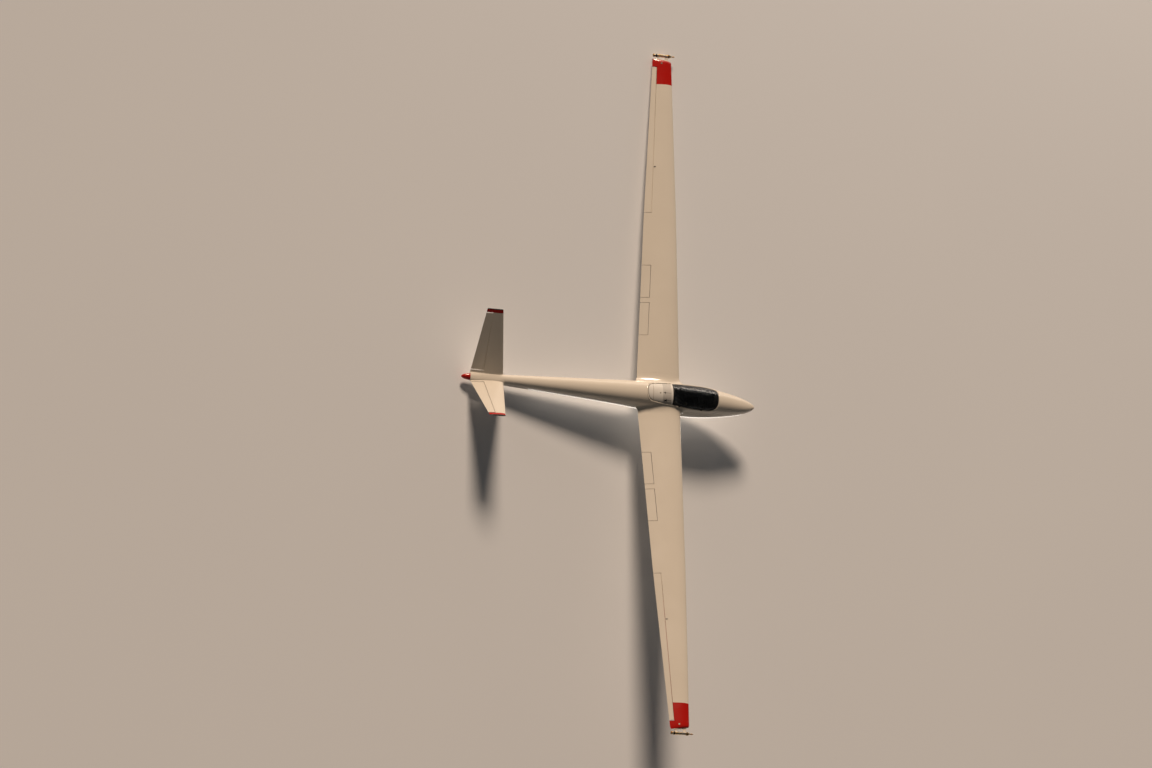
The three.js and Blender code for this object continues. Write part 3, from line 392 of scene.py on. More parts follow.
# Cabin paint: a matt grey two-pack paint rolled on bare laminate, whose cloth still shows as a
# weave of about 4 mm.
def laminate_weave(tree, place):
    cells = {"Vector": place, "Scale": 1 / 0.004}
    return add_node(tree, "ShaderNodeTexVoronoi", cells).outputs["Distance"]


cabin_relief = (laminate_weave, 0.0004, 1.0)
cabin_paint = new_finish("cabin_paint", ("74777A", "868A8D"), 0.12, 0.62, cabin_relief)

# The cockpit opening's edge, seen from the side, as heights of its lower line.
OPENING_REAR, OPENING_FRONT = -0.690, 0.757
SILL_REAR, SILL_FRONT = (-0.560, 0.152), (0.520, 0.010)


def on_curve(points, t):
    """A point of a Bezier curve."""
    points = list(points)
    while len(points) > 1:
        points = [a.lerp(b, t) for a, b in zip(points, points[1:])]
    return points[0]


def curve_height(points, x):
    low, high = 0.0, 1.0
    rising = points[-1].x > points[0].x
    for _ in range(30):
        middle = (low + high) / 2
        if (on_curve(points, middle).x < x) == rising:
            low = middle
        else:
            high = middle
    return on_curve(points, low).y


def opening_curves(inset):
    """The opening's ends, and its curves behind and before the sill, drawn in by an inset."""
    rear, front = OPENING_REAR + inset, OPENING_FRONT - inset
    sill_start = Vector((SILL_REAR[0] + inset, SILL_REAR[1] + inset))
    behind = [Vector((rear, 0.230)), Vector((rear + 0.030, 0.165 + inset)), sill_start]
    before = [Vector((SILL_FRONT[0], SILL_FRONT[1] + inset))]
    before += [Vector((front - 0.097, -0.005 + inset)), Vector((front - 0.007, 0.035 + inset))]
    return rear, front, behind, before + [Vector((front, 0.130))]


def opening_depth(inset):
    """How far a point lies above the edge of the opening, drawn in by an inset."""
    rear, front, behind, before = opening_curves(inset)
    start, end = behind[-1], before[0]

    def depth(point):
        if not rear < point.x < front:
            return -1.0
        if point.x < start.x:
            return point.z - curve_height(behind, point.x)
        if point.x > end.x:
            return point.z - curve_height(before, point.x)
        return point.z - start.lerp(end, (point.x - start.x) / (end.x - start.x)).y

    return depth


def sill_at(x):
    slope = (SILL_FRONT[1] - SILL_REAR[1]) / (SILL_FRONT[0] - SILL_REAR[0])
    return SILL_REAR[1] + (x - SILL_REAR[0]) * slope


NOSE = Vector((1.5423, 0, -0.205))
stations = [1.542 - 0.092 * (k / 16) ** 2 for k in range(16)]
stations += spread(1.450, 0.800, 36)[:-1] + spread(0.800, -0.720, 130)[:-1]
stations += spread(-0.720, HULL_END, 110)
angles = spread(-math.pi / 2, 1.5 * math.pi, AROUND)
hull = sheet(angles, stations, lambda a, x: NOSE if x > 1.5419 else hull_point(x, a))
carve(hull, opening_depth(0.0))

WELL_HALF = (0.182, 0.082)


def well_room(point):
    """Above zero inside the wheel's opening."""
    along = abs(point.x - WHEEL.x) / WELL_HALF[0]
    across = abs(point.y) / WELL_HALF[1]
    return -1.0 if point.z > -0.25 else 1 - (along**14 + across**14) ** (1 / 14)


carve(hull, well_room)
outward(hull)
fuselage = put(
    hull, "fuselage_shell", [white_gelcoat, cabin_paint], stands_for="fuselage"
)
WALL_TAPER = 0.06  # the wall thins out where the hull's half width is less than this
wall_group = fuselage.vertex_groups.new(name="wall")
to_level = STAND.inverted()
for corner in fuselage.data.vertices:
    half = hull_at((to_level @ corner.co).x)[0]
    wall_group.add([corner.index], min(1.0, half / WALL_TAPER), "REPLACE")
walled(fuselage, SKIN, inner=1, group="wall")

BULKHEAD = (-0.200, -0.170)
BULKHEAD_MIDDLE = -0.16
bulkhead = bmesh.new()
bmesh.ops.create_circle(bulkhead, segments=64, radius=1, cap_ends=True)
for corner in bulkhead.verts:
    angle = math.atan2(corner.co.y, corner.co.x)
    corner.co = hull_point(BULKHEAD[0], angle, SKIN - 0.0005)
pushed = bmesh.ops.extrude_face_region(bulkhead, geom=bulkhead.faces[:])["geom"]
for corner in (part for part in pushed if isinstance(part, bmesh.types.BMVert)):
    angle = math.atan2(corner.co.z - BULKHEAD_MIDDLE, corner.co.y)
    corner.co = hull_point(BULKHEAD[1], angle, SKIN - 0.0005)
cut_off(bulkhead, (0, 0, sill_at(sum(BULKHEAD) / 2) - 0.002), (0, 0, 1))
close_ends(bulkhead)
long_edges = [e for e in bulkhead.edges if e.calc_length() > 0.3]
bmesh.ops.bevel(
    bulkhead, geom=long_edges, offset=0.004, segments=3, profile=0.5, affect="EDGES", material=-1
)
put(bulkhead, "bulkhead", [cabin_paint])

# The cockpit floor: a flat laminate panel bonded in ahead of the seat, painted as the cabin.
FLOOR_TOP = -0.444
FLOOR_X = (0.521, 1.259)
FLOOR_THICKNESS = 0.008
FITTED = SKIN + 0.0006  # how far a fitted panel's edge lies inside the hull's outer face


def fitted_sheet(line, inset=FITTED, columns=24):
    """A panel from wall to wall that follows a line of the side view, given as x and z."""

    def place(u, i):
        x, z = line[i]
        return Vector((x, u * hull_side(x, z, inset), z))

    return sheet(spread(-1, 1, columns), list(range(len(line))), place)


def thickened(bm, depth):
    """A sheet as a closed panel, grown to the side that its faces look away from."""
    outward(bm)
    if sum(face.normal.z * face.calc_area() for face in bm.faces) < 0:
        bmesh.ops.reverse_faces(bm, faces=bm.faces)
    bmesh.ops.solidify(bm, geom=bm.faces[:], thickness=depth)
    return outward(bm)


floor_line = [Vector((x, FLOOR_TOP)) for x in spread(*FLOOR_X, 24)]
put(
    thickened(fitted_sheet(floor_line), FLOOR_THICKNESS), "cockpit_floor_panel", [cabin_paint],
    stands_for="cockpit_floor"
)

# The seat: one laminate pan from wall to wall, bent up as a backrest and painted as the cabin.
SEAT_FRONT = Vector((0.500, -0.305))
SEAT_LOW = Vector((0.150, -0.345))
SEAT_TOP = Vector((-0.128, -0.010))
SEAT_SHELL = 0.008
SEAT_BEND = 0.045  # length of the bend on each side of the corner


def seat_line(rise=0.0):
    """The seat's line from its front edge to its top, at a height above the pan."""
    low, back = (SEAT_FRONT - SEAT_LOW).normalized(), (SEAT_TOP - SEAT_LOW).normalized()
    over_low, over_back = Vector((-low.y, low.x)), Vector((back.y, -back.x))
    bend = (SEAT_LOW + low * SEAT_BEND, SEAT_LOW, SEAT_LOW + back * SEAT_BEND)
    line = [SEAT_FRONT.lerp(bend[0], t) + over_low * rise for t in spread(0, 1, 12)[:-1]]
    for t in spread(0, 1, 8):
        line.append(on_curve(bend, t) + over_low.lerp(over_back, t).normalized() * rise)
    return line + [bend[2].lerp(SEAT_TOP, t) + over_back * rise for t in spread(0, 1, 14)[1:]]


put(
    thickened(fitted_sheet(seat_line()), SEAT_SHELL), "seat_pan_shell", [cabin_paint],
    stands_for="seat_pan"
)

# The cushions: foam in a close-woven dark cloth, sewn in channels, laid on the seat and the
# headrest pad stuck to the bulkhead.
CUSHION_HALF = 0.168
CUSHION_THICK = 0.026  # before it is filled
CUSHION_RISE = 0.006
CHANNELS = (-0.085, 0.0, 0.085)
CHANNEL_HALF, CHANNEL_DEEP = 0.008, 0.005
FILL_STEPS = 20


# Woven polyester upholstery cloth with a thread about every 1.5 mm, drawn as a basket of 3 mm,
# rubbed paler in patches of 90 mm.
def basket(tree, place):
    threads = {}
    for k, way in enumerate("XY"):
        wave = {"Vector": place, "Scale": 52.0, "Distortion": 0.4}
        threads[k] = add_node(tree, "ShaderNodeTexWave", wave, bands_direction=way).outputs["Fac"]
    return add_node(tree, "ShaderNodeMath", threads, operation="MULTIPLY").outputs[0]


def rubbed_basket(tree, place):
    patches = {"Vector": place, "Scale": 1 / 0.09, "Detail": 4.0, "Roughness": 0.5}
    rubbed = add_node(tree, "ShaderNodeTexNoise", patches).outputs["Fac"]
    both = {0: basket(tree, place), 1: rubbed}
    return add_node(tree, "ShaderNodeMath", both, operation="MULTIPLY").outputs[0]


nap = {"Sheen Weight": 0.3, "Sheen Roughness": 0.5}
threads_up = (basket, 0.0004, 1.0)
cloth_shades = ("14171C", "3C424C")
seat_cloth = new_finish("seat_cloth", cloth_shades, rubbed_basket, 0.92, threads_up, fixed=nap)


def merged(*meshes):
    """Several meshes as one."""
    whole = meshes[0]
    for other in meshes[1:]:
        data = bpy.data.meshes.new("part")
        other.to_mesh(data)
        other.free()
        whole.from_mesh(data)
        bpy.data.meshes.remove(data)
    return whole


def soften(bm, width, steps=2, sharper=30):
    """Rounds a form's edges that are sharper than an angle."""
    limit = math.radians(sharper)
    sharp = [e for e in bm.edges if len(e.link_faces) == 2 and e.calc_face_angle() > limit]
    bmesh.ops.bevel(
        bm, geom=sharp, offset=width, segments=steps, profile=0.5, affect="EDGES", material=-1,
        clamp_overlap=True
    )
    return bm


def moved(bm, matrix):
    bmesh.ops.transform(bm, matrix=matrix, verts=bm.verts)
    return bm


def block_form(low, high, edge=0.0, steps=2):
    """A block between two corners, with rounded edges."""
    low, high = Vector(low), Vector(high)
    bm = bmesh.new()
    bmesh.ops.create_cube(bm, size=1)
    bmesh.ops.scale(bm, vec=high - low, verts=bm.verts)
    bmesh.ops.translate(bm, vec=(low + high) / 2, verts=bm.verts)
    return soften(bm, edge, steps) if edge else bm


def seat_slab(foot, head, shares, low, high, half):
    """A cushion's block on one leg of the seat's line, from one share of it to another."""
    along = (head - foot).normalized()
    over = Vector((-along.y, along.x))
    if over.y < 0:
        over.negate()
    start, end = foot.lerp(head, shares[0]), foot.lerp(head, shares[1])
    length = (end - start).length
    slab = block_form((0, -half, low), (length, half, high), 0.010, 4)
    rows = (along.x, 0, over.x, start.x), (0, 1, 0, 0), (along.y, 0, over.y, start.y), (0, 0, 0, 1)
    return outward(moved(slab, Matrix(rows)))


def made_real(piece):
    """Turns a piece's modifiers into its mesh."""
    shaped = piece.evaluated_get(bpy.context.evaluated_depsgraph_get())
    data = bpy.data.meshes.new_from_object(shaped)
    piece.modifiers.clear()
    piece.data = data


def filled(piece, pressure=4.0, limit=0.010):
    """Fills a cushion: its cloth swells under pressure, and no point moves past the limit."""
    remesh = piece.modifiers.new("even", "REMESH")
    remesh.mode = "VOXEL"
    remesh.voxel_size = 0.006
    made_real(piece)
    before = [corner.co.copy() for corner in piece.data.vertices]
    cloth = piece.modifiers.new("cloth", "CLOTH")
    cloth.settings.use_pressure = True
    cloth.settings.uniform_pressure_force = pressure
    cloth.settings.effector_weights.gravity = 0
    cloth.point_cache.frame_start = 1
    cloth.point_cache.frame_end = FILL_STEPS
    for step in range(1, FILL_STEPS + 1):
        bpy.context.scene.frame_set(step)
    made_real(piece)
    bpy.context.scene.frame_set(1)
    for corner, start in zip(piece.data.vertices, before):
        move = corner.co - start
        if move.length > limit:
            corner.co = start + move * (limit / move.length)
    inward = to_level.inverted().to_3x3() @ Vector((0, 0, -1))
    for corner in piece.data.vertices:
        across = (to_level @ corner.co).y
        groove = min(abs(across - channel) for channel in CHANNELS)
        corner.co += inward * CHANNEL_DEEP * max(0.0, 1 - groove / CHANNEL_HALF) ** 0.7
    for face in piece.data.polygons:
        face.use_smooth = True
    finer = piece.modifiers.new("finer", "SUBSURF")
    finer.levels = finer.render_levels = 1


for node, (foot, head), shares in (
    ("seat_cushion", (SEAT_FRONT, SEAT_LOW), (0.08, 0.86)),
    ("back_cushion", (SEAT_LOW, SEAT_TOP), (0.18, 0.95)),
):
    slab = seat_slab(foot, head, shares, CUSHION_RISE, CUSHION_RISE + CUSHION_THICK, CUSHION_HALF)
    filled(put(slab, f"{node}_pad", [seat_cloth], stands_for=node))
HEADREST = (-0.1690, -0.068, 0.019), (-0.124, 0.068, 0.085)
pad = block_form(*HEADREST, 0.012, 4)
pad = put(pad, "headrest_pad", [seat_cloth], stands_for="headrest")
filled(pad, limit=0.006)

# The harness: flat polyester webbing over the shoulders, across the lap and up from the seat's
# front, left lying on the cushions, with one turned steel buckle.
WEBBING = 0.044
WEBBING_THICK = 0.0022
OVER_CUSHION = 0.043


# Woven webbing with ribs across it about every 2 mm.
def webbing_ribs(tree, place):
    wave = {"Vector": place, "Scale": 70.0, "Distortion": 0.2}
    return add_node(tree, "ShaderNodeTexWave", wave, bands_direction="Z").outputs["Fac"]


webbing_shades = ("1D2733", "2E3B4B")
ribs_up = (webbing_ribs, 0.0003, 1.0)
harness_webbing = new_finish("harness_webbing", webbing_shades, webbing_ribs, 0.7, ribs_up)

# Zinc-plated steel: a pale grey metal with a faint straw cast and cloudy wear in 20 mm patches.
METAL = {"Metallic": 1.0}
plated_steel = new_finish("plated_steel", ("8A8880", "A9A69B"), 0.02, (0.28, 0.45), fixed=METAL)


def strap_form(points, across, width=WEBBING, thick=WEBBING_THICK):
    """Flat webbing along points, smoothed between them."""
    smooth = []
    for i in range(len(points) - 1):
        a, b = points[max(i - 1, 0)], points[i]
        c, d = points[i + 1], points[min(i + 2, len(points) - 1)]
        for t in spread(0, 1, 8)[:-1]:
            bend = (c - a) * t * (1 - t) ** 2 / 2 - (d - b) * t * t * (1 - t) / 2
            smooth.append(b.lerp(c, t * t * (3 - 2 * t)) + bend)
    smooth.append(points[-1])
    band = sheet(
        spread(-0.5, 0.5, 4), list(range(len(smooth))), lambda u, i: smooth[i] + across * (u * width)
    )
    outward(band)
    bmesh.ops.solidify(band, geom=band.faces[:], thickness=thick)
    return outward(band)


def turned_form(profile, foot, along, steps=48):
    """A shape turned on a lathe. The profile holds distances along the axis, and radii."""
    bm = bmesh.new()
    along = Vector(along).normalized()
    across = along.orthogonal().normalized()
    foot = Vector(foot)
    ring = [bm.verts.new(foot + along * t + across * r) for t, r in profile]
    edges = [bm.edges.new(pair) for pair in zip(ring, ring[1:])]
    bmesh.ops.spin(
        bm, geom=ring + edges, cent=foot, axis=along, angle=2 * math.pi, steps=steps, use_merge=True
    )
    bmesh.ops.remove_doubles(bm, verts=bm.verts, dist=2e-5)
    return outward(bm)


def coloured(bm, index):
    """Gives all of a mesh's faces one of its piece's materials."""
    for face in bm.faces:
        face.material_index = index
    return bm


over = seat_line(OVER_CUSHION)
straps = []
for side in (1, -1):
    lie = [Vector((p.x, side * (0.052 - 0.020 * k / 9), p.y)) for k, p in enumerate(over[-1:17:-2])]
    anchor = Vector((-0.1685, side * 0.058, 0.002))
    lip = Vector((-0.122, side * 0.055, 0.006))
    straps.append(strap_form([anchor, lip] + lie[1:], Vector((0, 1, 0))))
    hip = Vector((0.165, side * 0.190, -0.318))
    bend = Vector((0.185, side * 0.130, -0.296))
    buckle_side = Vector((0.205, side * 0.030, -0.289))
    straps.append(strap_form([hip, bend, buckle_side], Vector((0.9, 0, 0.15)).normalized()))
front = [Vector((x, 0, z)) for x, z in ((0.470, -0.268), (0.380, -0.272), (0.240, -0.288))]
straps.append(strap_form(front, Vector((0, 1, 0))))
put(merged(*straps), "seat_harness", [harness_webbing], crease=50)
BUCKLE = [(0, 0), (0, 0.030), (0.005, 0.033), (0.010, 0.031), (0.013, 0.024), (0.016, 0.022)]
BUCKLE += [(0.018, 0.018), (0.018, 0)]
buckle = turned_form(BUCKLE, (0.208, 0, -0.291), (0.1, 0, 1))
put(buckle, "harness_buckle", [plated_steel], crease=50)

# The instrument panel: a black wrinkle-painted pod under the coaming on a pedestal, with seven
# round instruments.
POD_X = (0.690, 0.850)
POD_HALF = 0.135
POD_Z = (-0.110, 0.075)
POD_INSET = 0.032

# Black wrinkle lacquer, baked on: a dull black with ridges about 1.5 mm apart.
ridges = (0.0015, 2.0, 0.5)
lacquer_shades = ("0E0F10", "1B1C1E")
wrinkle_black = new_finish("wrinkle_black", lacquer_shades, ridges, 0.55, (ridges, 0.0003, 1.0))


def pod_point(step, x):
    """A point of the pod, whose upper face follows the hull's own curve a gap below it."""
    u, on_top = step
    y = POD_HALF * u
    return Vector((x, y, min(POD_Z[1], hull_top(x, y, POD_INSET)) if on_top else POD_Z[0]))


pod_ring = [(u, True) for u in spread(-1, 1, 28)] + [(1, False), (-1, False), (-1, True)]
pod = sheet(pod_ring, spread(*POD_X, 12), pod_point)
close_ends(pod)
soften(pod, 0.005, 3, 50)
PEDESTAL = (0.706, -0.059, FLOOR_TOP + 0.0006), (0.789, 0.059, -0.100)
foot = block_form(*PEDESTAL, 0.008, 3)
put(
    merged(pod, foot), "instrument_pod", [wrinkle_black], stands_for="instrument_panel",
)
DIALS = [(y, 0.014, 0.037) for y in (-0.086, 0, 0.086)]
DIALS += [(y, -0.064, 0.025) for y in (-0.093, -0.031, 0.031, 0.093)]

# Dial faces: black enamel behind glass, which shows as a clear coat, and white enamel marks. Both
# are clouded in specks of 10 mm.
dial_glass = {"Coat Weight": 1.0, "Coat Roughness": 0.02}
dial_black = new_finish("dial_black", ("08090A", "0E0F11"), 0.01, 0.5, fixed=dial_glass)
dial_white = new_finish("dial_white", ("D8D6CC", "E8E6DC"), 0.01, 0.4)

dials = []
for y, z, radius in DIALS:
    centre = Vector((POD_X[0] + 0.001, y, z))
    bezel = [(0, radius), (0.005, radius), (0.006, radius - 0.001), (0.006, radius - 0.003)]
    bezel += [(0.003, radius - 0.005), (0, radius - 0.005), (0, radius)]
    dials.append(turned_form(bezel, centre, (-1, 0, 0), 40))
    plate = [(0, radius - 0.004), (0.0022, radius - 0.004), (0.0022, 0)]
    dials.append(coloured(turned_form(plate, centre, (-1, 0, 0), 40), 1))
    marks = []
    for k in range(12):
        long = 0.22 if k % 3 == 0 else 0.12
        low = (-0.0030, -0.0007, (0.80 - long) * radius)
        marks.append((low, (-0.0015, 0.0007, 0.80 * radius), 2 * math.pi * k / 12))
    needle = (-0.0034, -0.0010, -0.15 * radius), (-0.0024, 0.0010, 0.60 * radius)
    marks.append((*needle, 0.7 + 2.1 * y / POD_HALF + z * 9))
    for low, high, turned in marks:
        lay = Matrix.Translation(centre) @ Matrix.Rotation(turned, 4, "X")
        dials.append(coloured(moved(block_form(low, high), lay), 2))
put(
    merged(*dials), "instrument_dials", [wrinkle_black, dial_black, dial_white],
    crease=40
)

# The control stick: a steel tube with a moulded grip, through a rubber bellows on the floor.
STICK_FOOT, STICK_TOP = Vector((0.600, 0, -0.434)), Vector((0.530, 0, -0.120))
BELLOWS_FOLD = 0.008

# Moulded black rubber: dull, with a bloom of dust in patches of 40 mm and a grain of 2 mm.
rubber_grain = (0.002, 0.0001, 1.0)
rubber_shades = ("151515", "232322")
moulded_rubber = new_finish("moulded_rubber", rubber_shades, 0.04, (0.6, 0.8), rubber_grain)

stick_long = (STICK_TOP - STICK_FOOT).length
grip_foot = 0.68 * stick_long
grip = [(grip_foot - 0.004, 0.0), (grip_foot - 0.004, 0.012), (grip_foot, 0.0155)]
for k in range(1, 12):
    grip.append((grip_foot + (stick_long - grip_foot) * k / 12, 0.0140 + 0.0018 * math.cos(k * 1.15)))
grip += [(stick_long, 0.016), (stick_long + 0.008, 0.015), (stick_long + 0.013, 0.009)]
grip.append((stick_long + 0.0138, 0))
grip_form = turned_form(grip, STICK_FOOT, STICK_TOP - STICK_FOOT)
shaft = [(0.0, 0.0), (0.0, 0.009), (grip_foot, 0.009), (grip_foot, 0.0)]
shaft_form = coloured(turned_form(shaft, STICK_FOOT, STICK_TOP - STICK_FOOT, 24), 1)
bellows = [(0.0, 0.0), (0.0, 0.042), (0.002, 0.042)]
for k in range(3):
    low, wide = 0.002 + BELLOWS_FOLD * k, 0.040 - BELLOWS_FOLD * k
    bellows += [(low + 0.0015, wide), (low + 0.004, wide - 0.006)]
    bellows += [(low + 0.0055, wide - 0.0045), (low + 0.0075, wide - 0.004)]
bellows += [(0.026, 0.016), (0.0265, 0.0)]
bellows_form = turned_form(bellows, (STICK_FOOT.x, 0, FLOOR_TOP + 0.0006), (0, 0, 1))
put(
    merged(grip_form, shaft_form, bellows_form), "stick_and_grip", [moulded_rubber, plated_steel],
    stands_for="control_stick"
)

# The rudder pedals: two ribbed plates on a steel bar from wall to wall.
PEDAL_BAR = Vector((1.150, 0, -0.300))
PEDALS_Y = (-0.085, 0.085)
PEDAL_HALF, PEDAL_X, PEDAL_Z = 0.038, (1.1385, 1.1455), (-0.310, -0.190)


def rod_form(start, end, radius, sides=24, edge=0.0, end_radius=None):
    """A straight rod between two points."""
    along = end - start
    bm = bmesh.new()
    bmesh.ops.create_cone(
        bm, cap_ends=True, segments=sides, radius1=radius,
        radius2=radius if end_radius is None else end_radius, depth=along.length
    )
    lay = along.to_track_quat("Z", "Y").to_matrix().to_4x4()
    moved(bm, Matrix.Translation((start + end) / 2) @ lay)
    return soften(bm, edge, 2, 60) if edge else bm


reach = hull_side(PEDAL_BAR.x, PEDAL_BAR.z, FITTED)
bar = PEDAL_BAR - Vector((0, reach, 0)), PEDAL_BAR + Vector((0, reach, 0))
pedals = [rod_form(*bar, 0.009)]
for y in PEDALS_Y:
    low, high = zip(PEDAL_X, (y - PEDAL_HALF, y + PEDAL_HALF), PEDAL_Z)
    pedals.append(block_form(low, high, 0.003, 3))
    for z in (-0.285, -0.262, -0.239, -0.216):
        rib = (1.1355, y - 0.031, z), (1.1395, y + 0.031, z + 0.006)
        pedals.append(block_form(*rib, 0.0018))
    for end in (-0.030, 0.030):
        collar = PEDAL_BAR + Vector((0, y + end, 0))
        half = Vector((0, 0.006, 0))
        pedals.append(rod_form(collar - half, collar + half, 0.0125, edge=0.001))
put(
    merged(*pedals), "rudder_pedal_plates", [plated_steel], stands_for="rudder_pedals",
)

# The side consoles: moulded shelves along the walls, painted as the cabin, with the airbrake
# lever on the left one.
CONSOLE_X = (0.090, 0.560)
CONSOLE_Z = (-0.185, -0.160)
CONSOLE_IN = 0.208
for name, side in SIDES:
    def console_point(step, x):
        near, high = step
        z = CONSOLE_Z[high]
        y = CONSOLE_IN if near else hull_side(x, z, FITTED)
        return Vector((x, side * y, z))

    ring = [(True, 0), (True, 1), (False, 1), (False, 0), (True, 0)]
    shelf = sheet(ring, spread(*CONSOLE_X, 24), console_point)
    close_ends(shelf)
    soften(shelf, 0.006, 3, 50)
    put(
        shelf, f"console_shelf_{name}", [cabin_paint], stands_for=f"side_console_{name}",
    )
LEVER_FOOT, LEVER_TOP = Vector((0.400, 0.232, -0.1596)), Vector((0.380, 0.226, -0.092))
quadrant = (0.345, 0.222, CONSOLE_Z[1] - 0.001), (0.450, 0.242, CONSOLE_Z[1] + 0.004)
quadrant = block_form(*quadrant, 0.002)
slide = LEVER_FOOT + Vector((-0.030, 0, 0.008)), LEVER_FOOT + Vector((0.030, 0, 0.008))
slide = rod_form(*slide, 0.008, edge=0.002)
arm = rod_form(LEVER_FOOT + Vector((0, 0, 0.006)), LEVER_TOP, 0.006)
for part in (quadrant, slide, arm):
    coloured(part, 1)
knob = [(0, 0), (0, 0.008), (0.004, 0.0115), (0.016, 0.0095), (0.026, 0.0118), (0.031, 0.009)]
knob = turned_form(knob + [(0.033, 0)], LEVER_TOP - Vector((0, 0, 0.031)), (-0.05, 0, 1), 32)
put(
    merged(quadrant, slide, arm, knob), "airbrake_hand_lever", [moulded_rubber, plated_steel],
    stands_for="airbrake_lever"
)

# The equipment bay's floor: a laminate shelf fitted between the walls under the hatch.
BAY_X = (-0.749, -0.2005)
BAY_TOP = -0.020
BAY_THICK, BAY_FIT = 0.006, 0.005  # it stands a little further off the walls than other panels
bay_line = [Vector((x, BAY_TOP)) for x in spread(*BAY_X, 20)]
put(
    thickened(fitted_sheet(bay_line, FITTED + BAY_FIT), BAY_THICK), "bay_shelf", [cabin_paint],
    stands_for="bay_floor"
)

# The main wheel stands half out of the belly in a painted box. Its fork and axle are steel.
WELL_TOP = -0.328
WELL_WALL = 0.006
WELL_GAP = 0.0005
WELL_BELOW = -0.600  # under the belly, where the hull's own line then cuts the box off

half_long, half_wide = (half - WELL_GAP for half in WELL_HALF)
well = block_form(
    (WHEEL.x - half_long, -half_wide, WELL_BELOW), (WHEEL.x + half_long, half_wide, WELL_TOP - WELL_GAP)
)
lowest = [face for face in well.faces if face.normal.z < -0.5]
bmesh.ops.delete(well, geom=lowest, context="FACES")
bmesh.ops.subdivide_edges(well, edges=well.edges[:], cuts=15, use_grid_fill=True)
carve(well, lambda p: -in_hull(p, 0.0005))
outward(well)
bmesh.ops.solidify(well, geom=well.faces[:], thickness=WELL_WALL)
outward(well)
put(well, "wheel_box", [cabin_paint], stands_for="wheel_well", crease=40)

# The tyre: black rubber with three rain grooves and rings on its walls.
TYRE_RADIUS = 0.150
TYRE_CROWN = 0.058
RIM_RADIUS = 0.062

# Tyre rubber: a dull carbon black, greyer in scuffs of 12 mm where the tread has worn, with a
# grain of 3 mm.
scuffs = (0.012, 6.0, 0.7)
tyre_grain = (0.003, 0.0002, 1.0)
tyre_rubber = new_finish("tyre_rubber", ("131313", "2A2927"), scuffs, (0.65, 0.9), tyre_grain)

TREAD = []
for k in range(-36, 37):
    angle = math.radians(k)
    y = TYRE_CROWN * math.sin(angle)
    radius = TYRE_RADIUS - TYRE_CROWN + TYRE_CROWN * math.cos(angle)
    groove = min(abs(y - line) for line in (-0.017, 0, 0.017))
    TREAD.append((y, radius - (0.004 if groove < 0.0018 else 0)))
WALL = [Vector((0.0341, 0.1389)), Vector((0.0475, 0.127)), Vector((0.054, 0.108))]
WALL += [Vector((0.047, 0.083)), Vector((0.036, RIM_RADIUS + 0.0003))]
wall_line = [on_curve(WALL, t) for t in spread(0, 1, 22)]
for k in (8, 15):
    wall_line[k] = wall_line[k] + Vector((0.0012, 0))
right_wall = [(p.x, p.y) for p in wall_line[1:]]
left_wall = [(-y, r) for y, r in reversed(right_wall)]
tyre_profile = left_wall + TREAD + right_wall + left_wall[:1]
tyre = turned_form(tyre_profile, WHEEL, (0, 1, 0), 120)
put(
    tyre, "tyre_tread", [tyre_rubber], body="main_wheel", stands_for="main_tyre", crease=28
)

# The wheel: a cast aluminium rim in two halves, bolted through its web.
RIM_BOLTS, BOLT_CIRCLE = 6, 0.039

# Cast aluminium, machined where it shows: bright, with turning marks a millimetre apart.
turning_marks = (0.001, 0.00008, 1.0)
alloy_shades = ("9C9D9E", "B7B8B8")
cast_aluminium = new_finish(
    "cast_aluminium", alloy_shades, 0.01, (0.3, 0.5), turning_marks, fixed=METAL
)

RIM = [(-0.028, 0.0125), (-0.028, 0.026), (-0.012, 0.029), (-0.010, 0.031), (-0.010, 0.047)]
RIM += [(-0.013, 0.0495), (-0.036, 0.0535), (-0.0395, 0.056), (-0.040, 0.058), (-0.040, 0.061)]
RIM += [(-0.0385, 0.0620), (-0.034, 0.0612)]
rim_ring = RIM + [(-y, r) for y, r in reversed(RIM)] + RIM[:1]
rim_parts = [turned_form(rim_ring, WHEEL, (0, 1, 0), 72)]
for k in range(RIM_BOLTS):
    angle = 2 * math.pi * (k + 0.5) / RIM_BOLTS
    centre = WHEEL + Vector((BOLT_CIRCLE * math.cos(angle), 0, BOLT_CIRCLE * math.sin(angle)))
    for face_side in (-1, 1):
        out = Vector((0, face_side, 0))
        rim_parts.append(rod_form(centre + out * 0.0095, centre + out * 0.0115, 0.0072, 20))
        rim_parts.append(rod_form(centre + out * 0.0115, centre + out * 0.0160, 0.0055, 6, 0.0005))
valve = WHEEL + Vector((0, -0.011, 0.0495))
rim_parts.append(rod_form(valve, valve + Vector((0, -0.022, -0.004)), 0.0035, 12, 0.0005))
put(
    merged(*rim_parts), "wheel_rim", [cast_aluminium], body="main_wheel", stands_for="main_wheel_rim",
)

# The axle, fork and disc brake: welded and turned steel parts, grey paint on the fork.
AXLE_RADIUS, AXLE_HALF = 0.012, 0.074
WASHER_Y = 0.0683
LEG_Y = (0.0582, 0.0678)


def at_wheel(y):
    return Vector((WHEEL.x, y, WHEEL.z))


axle = [rod_form(at_wheel(-AXLE_HALF), at_wheel(AXLE_HALF), AXLE_RADIUS, 32, 0.0012)]
for out in (1, -1):
    washer, nut, end = (at_wheel(out * (WASHER_Y + reach)) for reach in (0, 0.001, 0.0055))
    axle.append(rod_form(washer, nut, 0.019, 32))
    axle.append(rod_form(nut, end, 0.0165, 6, 0.0008))
put(merged(*axle), "axle_and_nuts", [plated_steel], stands_for="wheel_axle")


